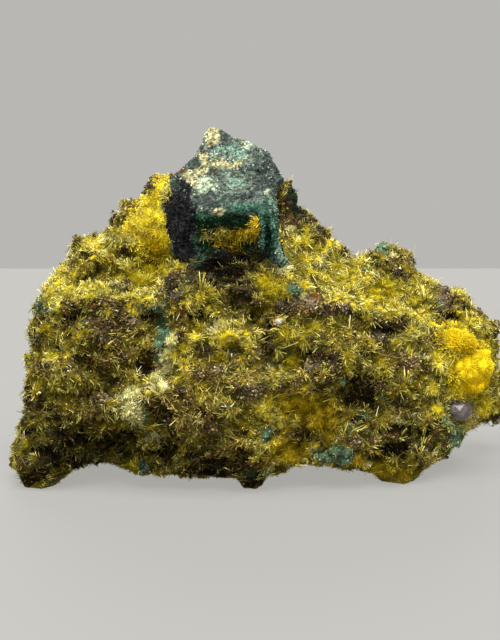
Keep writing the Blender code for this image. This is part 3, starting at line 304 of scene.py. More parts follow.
# The knob's own colours, and where each shows: across, up, half width, half height, how strongly
KNOB_COLOURS = {
    "stone": (0.118, 0.15, 0.116),
    "slate": (0.054, 0.07, 0.058),
    "cream": (0.43, 0.4, 0.2),
    "white": (0.36, 0.42, 0.28),
    "mint": (0.17, 0.27, 0.195),
    "green": (0.045, 0.118, 0.074),
    "deep": (0.01, 0.04, 0.017),
    "black": (0.012, 0.012, 0.013),
    "umber": (0.1, 0.06, 0.018),
}
KNOB_PATCHES = {
    "slate": [
        (2.2, 40, 1.7, 2.6, 1.1), (-3.1, 44.2, 0.7, 0.9, 1.2), (-7, 41, 0.9, 1.4, 1.3),
        (-4.6, 42.6, 0.5, 0.4, 0.9), (-5.6, 36, 1.6, 1, 0.8), (-1, 36.7, 2.2, 0.5, 0.8),
        (-6, 43.4, 0.25, 1.2, 1), (1.4, 37.6, 1.4, 0.5, 0.7), (-9.4, 37.8, 0.8, 1.4, 1),
    ],
    "cream": [
        (-4.7, 44.4, 0.9, 1.1, 1.4), (-5.8, 41.2, 0.9, 0.9, 1.1), (-7.4, 38.8, 0.8, 0.8, 1.2),
        (-3.4, 40.8, 1.6, 0.6, 0.85), (-4.1, 34.7, 0.8, 0.5, 1), (-6.6, 39.9, 1.2, 0.7, 1),
        (-1.6, 41.3, 1.2, 0.3, 0.6),
    ],
    "white": [
        (-5.5, 38.3, 1.3, 0.9, 1.2), (-0.3, 43.4, 0.8, 0.4, 1.2), (-4.4, 42, 0.5, 0.5, 0.7),
        (2.1, 37.1, 0.5, 0.4, 0.9),
    ],
    "mint": [
        (-2.4, 42.5, 2.2, 0.6, 1), (-1.2, 41.9, 1.4, 0.4, 0.8), (1.5, 32.6, 0.35, 2.6, 0.9),
        (3, 35.6, 0.6, 0.9, 1.2), (3.1, 33, 0.4, 1.6, 1), (3.6, 30, 0.5, 1.4, 1.3),
        (4.4, 28.4, 0.8, 0.8, 1.3), (-1.4, 38.4, 1.4, 0.8, 0.45),
    ],
    "green": [
        (-0.2, 35, 2.2, 0.6, 1.2), (3, 32.4, 0.8, 3.4, 1), (-6.5, 31.2, 1.2, 0.5, 1.1),
        (1.5, 32.8, 0.6, 3, 1), (-5.6, 34.3, 1.4, 0.5, 1), (-6.4, 28.8, 1.2, 0.6, 0.8),
        (-3.4, 36.2, 1, 0.4, 0.5),
    ],
    "deep": [
        (-3, 33.5, 3.9, 0.8, 1.3), (-4, 31.4, 3.2, 2, 1.1), (-0.4, 30.2, 1.2, 2, 1.2),
        (2.1, 32.4, 0.22, 3.4, 1.3),
    ],
    "black": [
        (-9, 34.2, 1.7, 3, 1.7), (-8, 38, 0.6, 0.9, 1.2), (-8.4, 30.4, 1.2, 2, 1.4),
        (-1.4, 29.2, 3, 0.9, 1.3),
    ],
    "umber": [
        (4.6, 33, 1, 3.2, 0.7), (-8.6, 40, 0.9, 0.5, 1), (-5, 43.4, 0.3, 0.4, 0.9),
        (-4.4, 39.8, 0.5, 0.3, 0.8), (-5.6, 42.2, 0.3, 0.5, 0.8),
    ],
}
KNOB_NAMES = list(KNOB_COLOURS)
KNOB_TINTS = np.array(list(KNOB_COLOURS.values()))
KNOB_SIDES = ("stone", "slate", "green")  # its colours where the photo doesn't look

# Fine relief of its front: across, up, half width, half height, stands out (or in)
KNOB_FRONT = [
    (2.1, 32.8, 0.22, 3.2, -0.45), (2.9, 36.2, 0.5, 0.7, 0.4), (3, 34.7, 0.5, 0.6, 0.38),
    (3.1, 33.2, 0.5, 0.6, 0.38), (3.2, 31.6, 0.5, 0.6, 0.4), (3.6, 30.1, 0.5, 0.6, 0.42),
    (4.1, 28.8, 0.6, 0.6, 0.45), (1.4, 34.6, 0.4, 0.7, 0.32), (1.4, 32.9, 0.4, 0.7, 0.34),
    (1.5, 31, 0.4, 0.8, 0.34), (1.8, 29.2, 0.4, 0.7, 0.34), (-0.3, 35.2, 2.4, 0.5, 0.35),
    (-4.1, 34.7, 0.7, 0.5, 0.4), (-6.4, 31.2, 1.3, 0.6, 0.45), (-0.4, 36.6, 2.2, 0.25, -0.28),
    (-3, 42.6, 1.2, 0.3, 0.25), (-5, 40, 0.8, 0.4, 0.25), (0.8, 39.8, 1.4, 0.3, -0.25),
]

# Tufts in its recess and round its foot: kind, across, up, half width, half height, most tufts
KNOB_TUFTS = [
    ("amber", 0.5, 32.7, 0.9, 1.4, 110), ("amber", -1.3, 31.9, 1.2, 0.9, 70),
    ("amber", -3.6, 31.3, 1.7, 1.3, 60), ("amber", -2, 30.2, 1.2, 0.7, 34),
    ("olive", -3.6, 32.4, 1.6, 0.9, 42), ("olive", -5.8, 32.2, 0.9, 0.7, 16),
    ("yellow", -10.2, 37.4, 0.4, 1.5, 60), ("yellow", -10.3, 31, 0.4, 1.4, 30),
    ("tan", 4.4, 35.6, 0.6, 2.2, 110), ("olive", 4.5, 32.6, 0.5, 1.8, 90),
    ("brown", -4.6, 29, 2.8, 0.9, 10), ("dark", -0.6, 29.4, 2.6, 0.9, 60),
    ("gold", 0.6, 28.2, 1, 0.5, 40),
]
TUFT_PLACES = 60000
TUFT_NEEDLES = 6
GRIT_GRAINS = 7000

AMBER = ((0.52, 0.29, 0.004), (1.0, 0.70, 0.035))
FOREIGN = (0.085, 0.050, 0.030)  # grains of another mineral
NUB_PURPLE, NUB_GREEN = np.array((0.105, 0.080, 0.072)), np.array((0.07, 0.12, 0.09))
QUARTZ = np.array((0.40, 0.36, 0.32))
STRAW = ((0.72, 0.64, 0.30), (0.95, 0.90, 0.55))

# Yellow masses: colours of the body, of the fibres' tips, and of folds and undersides, the last a painted
# shade
LEMON = ((0.92, 0.74, 0.022), (1.0, 0.92, 0.16), (0.46, 0.33, 0.004))
GOLDEN = ((1.0, 0.79, 0.014), (1.0, 0.86, 0.04), (0.72, 0.50, 0.004))
# The fluff on the rock beside them, at its foot and tip
FLUFF = ((0.52, 0.37, 0.006), (0.95, 0.76, 0.04))

GROUND_INSET = 0.24  # how far the fine ground lies inside the rock's solid
GAP_DEPTH = 0.55
NEEDLE_RISE = 0.66  # how far needles may stand out from that ground
ROSETTE_SIZE = 2.5

GRAIN_CORNERS = np.array([(1, 0, 0), (-0.5, 0.87, 0), (-0.5, -0.87, 0), (0, 0, 1), (0, 0, -1)])
GRAIN_FACES = (0, 1, 3, 1, 2, 3, 2, 0, 3, 1, 0, 4, 2, 1, 4, 0, 2, 4)
# How many corners a needle has at its foot, its faces by corner, and how many corners a face has
NEEDLE_BUILDS = {
    "hair": (1, (0, 1, 2), 3),
    "lath": (2, (0, 1, 2, 3), 4),
    "prism": (3, (0, 1, 4, 0, 4, 3, 1, 2, 5, 1, 5, 4, 2, 0, 3, 2, 3, 5, 3, 4, 5), 3),
}
PRISM_SLANTS = (0.0, -0.8, -1.6)
DROOP = np.array((0.0, 0.0, -0.10))

# Lamps: place, size and power
LAMPS = {
    "overhead": ((-0.06, -0.30, 0.78), (0.9, 0.7), 17.0),
    "front fill": ((0.15, -0.95, 0.40), (0.8, 0.5), 2.0),
    "back fill": ((-0.15, 0.95, 0.45), (0.8, 0.5), 3.5),
}
LIT_PLACE = Vector((0.0, 0.0, 0.02))


def scatter(cell, seed):
    """A steady random number from 0 to 1 for each whole-number cell."""
    x, y, z = (cell[..., k] for k in range(3))
    mixed = x * 73856093 ^ y * 19349663 ^ z * 83492791 ^ seed * 2654435761
    mixed = (mixed ^ (mixed >> 13)) & 0x7FFFFFFF
    mixed = (mixed * 1274126177) & 0x7FFFFFFF
    mixed = (mixed ^ (mixed >> 16)) * 668265263 & 0x7FFFFFFF
    return (mixed >> 7 & 0xFFFF) / 65535.0


def waves(points, size, seed):
    """Smooth noise from -1 to 1 whose waves are about this long."""
    spot = points / size
    cell = np.floor(spot).astype(np.int64)
    share = spot - cell
    share = share * share * (3.0 - 2.0 * share)
    total = np.zeros(len(points))
    for corner in itertools.product((0, 1), repeat=3):
        weight = np.prod(np.where(corner, share, 1.0 - share), axis=1)
        total += weight * scatter(cell + np.array(corner), seed)
    return 2.0 * total - 1.0


def fractal(points, size, seed, octaves):
    return sum(waves(points, size / 2 ** k, seed + k) / 2 ** k for k in range(octaves))


def drifts(points, size, seed):
    """Vectors that change smoothly from place to place."""
    return np.stack([waves(points, size, seed + k) for k in range(3)], axis=1)


def lumps(points, size, seed, seam=0.45):
    """Lumps: 0 in their seams and 1 on them, a random number each, and the way from each one's middle."""
    spot = points / size
    cell = np.floor(spot).astype(np.int64)
    nearest = np.full(len(points), 9.0)
    second = nearest.copy()
    tone = np.zeros(len(points))
    away = np.zeros(points.shape)
    for step in itertools.product((-1, 0, 1), repeat=3):
        other = cell + np.array(step)
        offset = spot - other - np.stack([scatter(other, seed + k) for k in range(3)], axis=1)
        far = np.linalg.norm(offset, axis=1)
        closer = far < nearest
        second = np.where(closer, nearest, np.minimum(second, far))
        tone = np.where(closer, scatter(other, seed + 3), tone)
        away = np.where(closer[:, None], offset, away)
        nearest = np.where(closer, far, nearest)
    return rise(second - nearest, 0.0, seam), tone, away


def rise(value, low, high):
    """Smoothly from 0 at the low value to 1 at the high one."""
    share = np.clip((value - low) / (high - low), 0.0, 1.0)
    return share * share * (3.0 - 2.0 * share)


def unit(vectors):
    return vectors / np.maximum(np.linalg.norm(vectors, axis=1, keepdims=True), 1e-9)


def dots(vectors, others):
    return np.einsum("ij,ij->i", vectors, others)


def flattened(vectors, normals):
    """What is left of vectors along a surface."""
    return vectors - normals * dots(vectors, normals)[:, None]


def beside(ways, draw):
    """For each direction a random one square to it."""
    return unit(np.cross(ways, draw.normal(size=ways.shape)))


def picked(columns, some):
    return [column[some] for column in columns]


def joined(parts):
    return [np.concatenate(column) for column in zip(*parts)]


def seen(points):
    """Across and up, as the photo shows the points."""
    across = points[:, 0] + OUTLINE_SHIFT[0]
    depth = points[:, 1] + OUTLINE_SHIFT[1] - FRONT_FOOT_Y
    return across, points[:, 2] * math.cos(LOOK_DOWN) + depth * math.sin(LOOK_DOWN)


def facing_view(normals, low=-0.25, high=0.2):
    """How far a surface turns to the photo, from 0 to 1."""
    return rise(-(normals @ VIEW), low, high)


def within(across, up, x, z, half_width, half_height):
    """1 in the middle of a patch, and about a third at its rim."""
    return np.exp(-((across - x) / half_width) ** 2 - ((up - z) / half_height) ** 2)


def claims(patches, names, across, up):
    """How strongly the patches of each kind claim each place."""
    score = np.zeros((len(across), len(names)))
    for column, name in enumerate(names):
        for *area, weight in patches.get(name, []):
            score[:, column] = np.maximum(score[:, column], weight * within(across, up, *area))
    return score


def rosettes(points):
    """The mounds that needles radiate from: 1 on them, a random number each, and the way outwards."""
    return lumps(points + 0.5 * drifts(points, 2.0, 2), ROSETTE_SIZE, 7, 0.38)


def kinds_at(points, normals, crest, draw):
    """The kind of growth at each point, as its place in NAMES."""
    across, up = seen(points)
    across = across + 0.6 * waves(points, 1.9, 51) + 0.4 * waves(points, 0.8, 52)
    up = up + 0.5 * waves(points, 1.9, 53) + 0.35 * waves(points, 0.8, 54)
    front = facing_view(normals)
    tone = rosettes(points)[1]
    score = claims(PATCHES, NAMES, across, up)
    score[:, NAMES.index("olive")] = OLIVE_CLAIM
    for column, claim in enumerate(score.T):  # each claim is a column of score, and is changed in place
        beyond = ELSEWHERE[column] + 0.30 * waves(points, 4.0, 60 + column)
        beyond += 0.2 * waves(points, 1.5, 80 + column)
        claim[:] = front * claim + (1.0 - front) * beyond
        claim += 0.14 * waves(points, 1.1, 100 + column) + 0.14 * waves(points, 0.5, 120 + column)
        claim += 0.26 * ((tone * (37.7 + 11.3 * column)) % 1.0 - 0.5)
        claim += CREST_LIKES[column] * crest
    return np.argmax(score + RAGGED * draw.normal(size=score.shape), axis=1)


def knob_kinds(points, normals, draw):
    """The kind of crust at each point of the knob, as its place in KNOB_NAMES."""
    across, up = seen(points)
    across = across + 0.35 * waves(points, 1.3, 31) + 0.25 * waves(points, 0.5, 33)
    up = up + 0.35 * waves(points, 1.3, 32) + 0.25 * waves(points, 0.5, 34)
    front = facing_view(normals, -0.35, 0.0)
    score = claims(KNOB_PATCHES, KNOB_NAMES, across, up)
    for column, name in enumerate(KNOB_NAMES):
        beyond = 0.3 * waves(points, 3.0, 40 + column) + (0.3 if name in KNOB_SIDES else 0.0)
        claim = front * score[:, column] + (1.0 - front) * beyond
        score[:, column] = claim + 0.14 * waves(points, 0.6, 140 + column)
    score[:, KNOB_NAMES.index("stone")] += 0.35 * front
    return np.argmax(score + 0.10 * draw.normal(size=score.shape), axis=1)


def shade_by(points, normals, crest):
    """How bright growth is: painted light on crests, painted shade in hollows and in the seams between
    rosettes, a random tone for each rosette, and the broad stretches of painted light and shade.
    """
    across, up = seen(points)
    front = facing_view(normals)
    mound, tone, _ = rosettes(points)
    # Painted light on crests and painted shade in hollows and between rosettes; the rosette tone is random.
    shade = (0.52 + 0.72 * rise(crest, -1.1, 0.9)) * (1.0 - 0.44 * (1.0 - mound)) * (0.82 + 0.42 * tone)
    for *area, against in PAINTED_LIGHT_AND_SHADE:
        shade = shade * (1.0 + (against - 1.0) * (front * within(across, up, *area)))
    return shade


def leaning(points, normals):
    """Which way needles lean: out of the rosettes' middles, in slow drifts, and a little down."""
    _, tone, away = rosettes(points)
    lean = away * (1.4 + 1.4 * tone)[:, None] + 0.45 * drifts(points, 3.2, 11) + DROOP
    return flattened(lean, normals)


def placed(name, data):
    obj = bpy.data.objects.new(name, data)
    bpy.context.scene.collection.objects.link(obj)
    return obj


def places(mesh):
    """A mesh's corners, and its normals there."""
    found = []
    for source, key in ((mesh.vertices, "co"), (mesh.vertex_normals, "vector")):
        values = np.empty(len(mesh.vertices) * 3)
        source.foreach_get(key, values)
        found.append(values.reshape(-1, 3))
    return found[0] / MM, found[1]


def push_out(obj, points, normals, push):
    """Moves each corner along its normal, and gives the new corners and normals."""
    obj.data.vertices.foreach_set("co", ((points + normals * push[:, None]) * MM).ravel())
    obj.data.update()
    return places(obj.data)


def set_tint(mesh, colours):
    """Gives each corner its colour. One brighter than white is dimmed, partly with its hue kept."""
    tint = mesh.color_attributes.new("tint", "FLOAT_COLOR", "POINT")
    full = np.ones((len(colours), 4))
    scaled = colours / np.maximum(colours.max(axis=1, keepdims=True), 1.0)
    full[:, :3] = 0.55 * scaled + 0.45 * np.clip(colours, 0.0, 1.0)
    tint.data.foreach_set("color", full.ravel())


def without_strays(mesh):
    """Keeps only the part of a mesh that hangs together and has the most corners."""
    bm = bmesh.new()
    bm.from_mesh(mesh)
    left, largest = set(bm.verts), set()
    while left:
        ahead = [left.pop()]
        part = set(ahead)
        while ahead:
            corner = ahead.pop()
            fresh = {edge.other_vert(corner) for edge in corner.link_edges} & left
            left -= fresh
            part |= fresh
            ahead.extend(fresh)
        largest = max(largest, part, key=len)
    bmesh.ops.delete(bm, geom=[corner for corner in bm.verts if corner not in largest], context="VERTS")
    bm.to_mesh(mesh)
    bm.free()


def evaluated(obj, smoothing, voxel=None):
    """An object's mesh, remeshed where a size is given, and smoothed this often."""
    if voxel:
        remesh = obj.modifiers.new("even mesh", "REMESH")
        remesh.mode = "VOXEL"
        remesh.voxel_size = voxel * MM
    smooth = obj.modifiers.new("smoothing", "SMOOTH")
    smooth.factor = 0.5
    smooth.iterations = smoothing
    graph = bpy.context.evaluated_depsgraph_get()
    mesh = bpy.data.meshes.new_from_object(obj.evaluated_get(graph))
    obj.modifiers.clear()
    return mesh


def fine_copy(name, solid, voxel, smoothing):
    """A finely meshed copy of a solid, with its corners and normals."""
    obj = placed(name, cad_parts[solid].data.copy())
    mesh = evaluated(obj, smoothing, voxel)
    without_strays(mesh)
    mesh.name = name
    obj.data = mesh
    mesh.materials.clear()
    return obj, *places(mesh)


def crests_of(obj, smoothing, reach):
    """How far corners stand out of the smoothed surface, from about -1 in hollows to 1 on crests."""
    points, normals = places(obj.data)
    smoothed = evaluated(obj, smoothing)
    flat = places(smoothed)[0]
    bpy.data.meshes.remove(smoothed)
    return np.clip(dots(points - flat, normals) / reach, -1.5, 1.5)


def near_solids(points, names):
    """How close each point is to one of these solids: 1 at it, 0 from 1.5 mm away."""
    closest = np.full(len(points), 9.0)
    graph = bpy.context.evaluated_depsgraph_get()
    for name in names:
        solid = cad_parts[name]
        tree = BVHTree.FromObject(solid, graph)
        corners = places(solid.data)[0]
        low, high = corners.min(axis=0) - 2.0, corners.max(axis=0) + 2.0
        for index in np.flatnonzero(np.all((points > low) & (points < high), axis=1)):
            away = tree.find_nearest(Vector(points[index] * MM))[3] / MM
            closest[index] = min(closest[index], away)
    return 1.0 - rise(closest, 0.45, 1.5)


def spread(mesh, count, draw, weigh=None, values=None):
    """Points spread evenly over a mesh, or by weight, with its normals there and any value of its own."""
    points, normals = places(mesh)
    mesh.calc_loop_triangles()
    corners = np.empty(len(mesh.loop_triangles) * 3, dtype=np.int64)
    mesh.loop_triangles.foreach_get("vertices", corners)
    corners = corners.reshape(-1, 3)
    a, b, c = (points[corners[:, k]] for k in range(3))
    outward = np.cross(b - a, c - a)
    area = np.linalg.norm(outward, axis=1)
    if weigh is not None:
        area = area * weigh((a + b + c) / 3.0, unit(outward))
    edge = np.cumsum(area) / area.sum()
    chosen = np.searchsorted(edge, (np.arange(count) + draw.random(count)) / count)
    chosen = corners[np.minimum(chosen, len(corners) - 1)]
    u, v = draw.random((2, count))
    u, v = np.where(u + v > 1.0, (1.0 - u, 1.0 - v), (u, v))
    shares = np.stack([1.0 - u - v, u, v], axis=1)
    where, facing = (np.einsum("nk,nkj->nj", shares, found[chosen]) for found in (points, normals))
    if values is None:
        return where, unit(facing)
    return where, unit(facing), np.einsum("nk,nk->n", shares, values[chosen])


def tinted(name, grain, contrast, roughness, bump, gloss):
    """Colour from the mesh's own tint, broken up by a fine grain that also roughens the surface."""
    material, tree, shader = new_material(name, {"Roughness": roughness, "Specular IOR Level": gloss})
    tint = add_node(tree, "ShaderNodeAttribute", attribute_name="tint")
    place = add_node(tree, "ShaderNodeTexCoord")
    texture = add_node(tree, "ShaderNodeTexNoise", Scale=1.0 / (grain * MM), Detail=3.0, Roughness=0.6)
    span = {"From Min": 0.25, "From Max": 0.75, "To Min": 1.0 - contrast, "To Max": 1.0 + contrast}
    span = add_node(tree, "ShaderNodeMapRange", **span)
    scaled = add_node(tree, "ShaderNodeVectorMath", operation="SCALE")
    link = tree.links.new
    link(place.outputs["Object"], texture.inputs["Vector"])
    link(texture.outputs["Fac"], span.inputs["Value"])
    link(tint.outputs["Color"], scaled.inputs[0])
    link(span.outputs["Result"], scaled.inputs["Scale"])
    link(scaled.outputs["Vector"], shader.inputs["Base Color"])
    if bump:
        relief = add_node(tree, "ShaderNodeBump", Strength=1.0, Distance=bump * MM)
        link(texture.outputs["Fac"], relief.inputs["Height"])
        link(relief.outputs["Normal"], shader.inputs["Normal"])
    return material


def new_material(name, settings):
    material = bpy.data.materials.new(name)
    material.use_nodes = True
    tree = material.node_tree
    shader = tree.nodes["Principled BSDF"]
    for key, value in settings.items():
        shader.inputs[key].default_value = value
    return material, tree, shader


def add_node(tree, kind, **settings):
    made = tree.nodes.new(kind)
    for key, value in settings.items():
        if key in made.inputs:
            made.inputs[key].default_value = value
        else:
            setattr(made, key, value)
    return made


# Grain, contrast, roughness, bump and gloss of each material
LOOKS = {
    "ground": tinted("dark ore", 0.30, 0.40, 0.9, 0.08, 0.04),
    "needle": tinted("uranophane needles", 0.6, 0.20, 0.45, 0.0, 0.10),
    "crumb": tinted("crust grains", 0.25, 0.30, 0.5, 0.02, 0.15),
    "knob": tinted("malachite crust", 0.16, 0.45, 0.75, 0.05, 0.08),
    "velvet": tinted("uranophane velvet", 0.18, 0.18, 0.9, 0.04, 0.05),
    "nub": tinted("heterogenite", 0.7, 0.25, 0.22, 0.01, 0.6),
}


def finish_piece(obj, look, solid=None):
    """Gives a piece its material. One that stands for a solid is also shaded smooth."""
    obj.data.materials.append(LOOKS[look])
    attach(obj, "root")
    if solid:
        obj.data.polygons.foreach_set("use_smooth", np.ones(len(obj.data.polygons), dtype=bool))
        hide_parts(solid)


def mesh_from(name, points, pattern, per_face, colours):
    """Many small bodies of one build as one mesh: corners of each, its faces by corner, and colours."""
    count, each = points.shape[:2]
    corners = (np.arange(count)[:, None] * each + np.array(pattern)).ravel()
    mesh = bpy.data.meshes.new(name)
    mesh.vertices.add(count * each)
    mesh.vertices.foreach_set("co", (np.clip(points, BOX_LOW, BOX_HIGH) * MM).ravel())
    mesh.loops.add(len(corners))
    mesh.loops.foreach_set("vertex_index", corners)
    mesh.polygons.add(len(corners) // per_face)
    mesh.polygons.foreach_set("loop_start", np.arange(0, len(corners), per_face))
    mesh.update(calc_edges=True)
    set_tint(mesh, colours.reshape(-1, 3))
    return placed(name, mesh)


def needles(name, shape, columns, draw):
    """Needles in one mesh: flat laths, hairs rooted by their point, or prisms with a slanting end.
    Columns are roots, ways, lengths, widths and colours of foot and tip. None may leave the solids' box."""
    ends = columns[0] + columns[1] * columns[2][:, None]
    kept = np.all((ends > BOX_LOW) & (ends < BOX_HIGH), axis=1)
    roots, ways, _, widths, foot, tip, ends = picked((*columns, ends), kept)
    first, widths = beside(ways, draw), widths[:, None]
    side = first * widths / 2.0
    feet, pattern, per_face = NEEDLE_BUILDS[shape]
    if shape == "hair":
        corners = [roots, ends + side, ends - side]
    elif shape == "lath":
        corners = [roots - side, roots + side, ends + 0.6 * side, ends - 0.6 * side]
    else:
        second = np.cross(ways, first)
        turns = [k * 2.0 * math.pi / 3.0 for k in range(3)]
        rings = [(math.cos(turn) * first + math.sin(turn) * second) * widths / 2.0 for turn in turns]
        corners = [roots + ring for ring in rings]
        for ring, slant in zip(rings, PRISM_SLANTS):
            corners.append(ends + 0.8 * ring + ways * (slant * widths))
    colours = np.stack([foot] * feet + [tip] * (len(corners) - feet), axis=1)
    obj = mesh_from(name, np.stack(corners, axis=1), pattern, per_face, colours)
    finish_piece(obj, "needle")


def crumbs(name, slot, where, normals, sizes, colours, draw):
    """Little five-cornered grains, uneven and six-faced, in one mesh."""
    first = beside(normals, draw)
    basis = np.stack([first, np.cross(normals, first), normals], axis=1)
    each = (len(where), len(GRAIN_CORNERS))
    corners = GRAIN_CORNERS * draw.uniform(0.6, 1.3, (*each, 1)) + 0.25 * draw.normal(size=(*each, 3))
    points = where[:, None] + np.einsum("nij,njk->nik", corners, basis) * sizes[:, None, None] / 2.0
    obj = mesh_from(name, points, GRAIN_FACES, 3, np.repeat(colours[:, None], each[1], axis=1))
    finish_piece(obj, "crumb")


def sprays(growth, per_spray, reach, draw):
    """Bundles of needles that share a way and a tone, one at each place, as columns for needles()."""
    centres, normals, kinds, crest = growth
    count = len(kinds)
    counts = per_spray * DENSITY[kinds] * draw.uniform(0.5, 1.5, count)
    owner = np.repeat(np.arange(count), np.maximum(1, np.round(counts)).astype(int))
    total, kind, out = len(owner), kinds[owner], normals[owner]
    upright = draw.uniform(0.1, 0.75, (count, 1))
    main = unit(normals * upright + leaning(centres, normals) + 0.30 * draw.normal(size=centres.shape))
    loose = draw.uniform(0.12, 0.50, (count, 1))
    ways = unit(main[owner] + loose[owner] * draw.normal(size=(total, 3)))
    ways = unit(ways + out * np.maximum(0.0, 0.08 - dots(ways, out))[:, None])
    outward = np.maximum(dots(ways, out), 0.05)
    size = SHORTEST[kinds] + (LONGEST - SHORTEST)[kinds] * draw.random(count) ** 1.3
    lengths = reach * size[owner] * draw.uniform(0.55, 1.1, total)
    lengths = np.minimum(lengths, NEEDLE_RISE * draw.uniform(0.7, 1.15, total) / outward)
    hanging = rise(4.0 - centres[owner, 2], 0.0, 2.0) * rise(-ways[:, 2], 0.0, 0.4)
    lengths = lengths * (1.0 - 0.6 * hanging)
    widths = WIDTH[kind] * draw.uniform(0.65, 1.25, total)
    aside = flattened(draw.normal(size=(total, 3)), out)
    roots = centres[owner] + 0.14 * aside - 0.05 * out
    value = np.exp(0.8 * UNEVEN[kinds] * draw.normal(size=count))[owner]
    value = value * np.exp(1.3 * UNEVEN[kind] * draw.normal(size=total))
    # Each spray carries shade_by's painted light and shade.
    value = (value * shade_by(centres, normals, crest)[owner])[:, None]
    # Painted highlight: about one needle in eight is made much brighter, most at its tip, and wider.
    bright = (draw.random(total) < 0.13)[:, None]
    foot = FOOT[kind] * value * np.where(bright, 1.4, 0.85)
    tip = TIP[kind] * value * np.where(bright, 1.9, 0.72)
    return roots, ways, lengths, widths * np.where(bright[:, 0], 1.4, 0.9), foot, tip


def felt(growth, reach, draw):
    """Short needles that lie on the ground, and lean with their neighbours, as columns for needles()."""
    where, normals, kinds, crest = growth
    count = len(kinds)
    main = leaning(where, normals) + 0.7 * beside(normals, draw)
    ways = unit(main + (0.15 + 0.5 * draw.random((count, 1))) * normals)
    lengths = reach * (SHORTEST[kinds] + (LONGEST - SHORTEST)[kinds] * draw.random(count))
    widths = WIDTH[kinds] * draw.uniform(0.7, 1.3, count)
    # The felt carries shade_by's painted light and shade.
    value = (np.exp(UNEVEN[kinds] * draw.normal(size=count)) * shade_by(where, normals, crest))[:, None]
    tip = 0.6 * FOOT[kinds] + 0.4 * TIP[kinds]
    return where - 0.03 * normals, ways, lengths, widths, FOOT[kinds] * value, tip * value


def rock_ground():
    """The rock without needles: the solid's form with a fine crust, and how far its corners stand out."""
    obj, points, normals = fine_copy("rock_ground", "matrix", voxel=0.34, smoothing=1)
    close = near_solids(points, (KNOB, BALL, LEFT, LOBE, NUB))
    crust, tone, _ = lumps(points, 1.1, 5, 0.4)
    push = -GROUND_INSET - GAP_DEPTH * (1.0 - rosettes(points)[0])
    push += 0.22 * fractal(points, 2.2, 1, 3) + 0.30 * crust * tone
    push *= rise(points[:, 2], 0.0, 3.0)
    push = (1.0 - close) * push + close * (0.05 + 0.2 * fractal(points, 0.9, 9, 2))
    points, normals = push_out(obj, points, normals, push)
    crest = 0.55 * crests_of(obj, smoothing=14, reach=0.22)
    crest = crest + 0.6 * crests_of(obj, smoothing=140, reach=0.8)
    kinds = kinds_at(points, normals, crest, np.random.default_rng(1))
    # The ground's colour carries shade_by's painted light and shade.
    value = (0.65 + 0.35 * crust + 0.3 * (tone - 0.5)) * shade_by(points, normals, crest)
    set_tint(obj.data, GROUND[kinds] * value[:, None])
    raised = BARE[kinds] * rise(points[:, 2], 1.0, 4.0) * (1.0 - close)
    push_out(obj, points, normals, raised * (0.10 + 0.16 * crust))
    finish_piece(obj, "ground", "matrix")
    return obj, crest


def front_first(_, normals):
    """Needles stand denser where the photo looks."""
    return 0.55 + 0.75 * facing_view(normals, -0.1, 0.5) + 0.25 * rise(normals[:, 2], 0.2, 0.8)


def grown(rock, count, lowest, draw):
    """Places on the ground above this height, fewer beside the ball: where, normals, kinds and crests."""
    ground, crests = rock
    columns = spread(ground.data, count, draw, front_first, crests)
    height, crowding = columns[0][:, 2], near_solids(columns[0], (BALL,))
    where, normals, crest = picked(columns, (height > lowest) & (draw.random(count) > 0.85 * crowding))
    return where, normals, kinds_at(where, normals, crest, draw), crest


def rock_needles(rock):
    draw = np.random.default_rng(2)
    growth = grown(rock, count=16500, lowest=0.7, draw=draw)
    columns = sprays(growth, per_spray=8, reach=1.1, draw=draw)
    order = draw.permutation(len(columns[0]))
    for part, some in enumerate(np.array_split(order, 2)):
        needles(f"fine_needles_{part + 1}", "lath", picked(columns, some), draw)

    growth = grown(rock, count=190000, lowest=0.4, draw=draw)
    kept = draw.random(len(growth[0])) < 0.5 + 0.5 * DENSITY[growth[2]]
    needles("needle_felt", "hair", felt(picked(growth, kept), reach=0.45, draw=draw), draw)

    growth = grown(rock, count=26000, lowest=0.7, draw=draw)
    kept = near_solids(growth[0], (KNOB,)) > 0.25
    columns = sprays(picked(growth, kept), per_spray=7, reach=1.35, draw=draw)
    needles("needles_round_knob", "lath", columns, draw)

    growth = grown(rock, count=4200, lowest=1.0, draw=draw)
    kept = (DENSITY[growth[2]] > 0.4) & (growth[3] > -0.6)
    columns = sprays(picked(growth, kept), per_spray=6, reach=1.75, draw=draw)
    roots, ways, lengths, widths, foot, tip = columns
    # Long needles get tips half again as bright: a painted highlight.
    needles("long_needles", "prism", (roots, ways, lengths, 1.3 * widths, foot, 1.5 * tip), draw)


def rock_fringes(ground):
    """Hairs on the ground close beside some of the solids."""
    draw = np.random.default_rng(9)
    for name, solids, count, lengths, colours in (
            ("fluff_round_ball", (BALL, LOBE), 7000, (0.3, 0.9), FLUFF),
            ("needles_round_nub", (NUB,), 1300, (0.4, 1.0), COLOURS["olive"][1:]),
            ("fluff_round_cushion", (LEFT,), 6000, (0.3, 0.9), FLUFF)):
        where, normals = spread(ground.data, count, draw, lambda at, _: near_solids(at, solids) + 1e-7)
        ways = unit(normals + 0.5 * draw.normal(size=normals.shape))
        value = (np.exp(0.25 * draw.normal(size=count)) * (0.85 + 0.35 * waves(where, 0.9, 261)))[:, None]
        lengths, widths = draw.uniform(*lengths, count), draw.uniform(0.07, 0.12, count)
        foot, tip = (np.array(colour) * value for colour in colours)
        needles(name, "hair", (where - 0.03 * normals, ways, lengths, widths, foot, tip), draw)


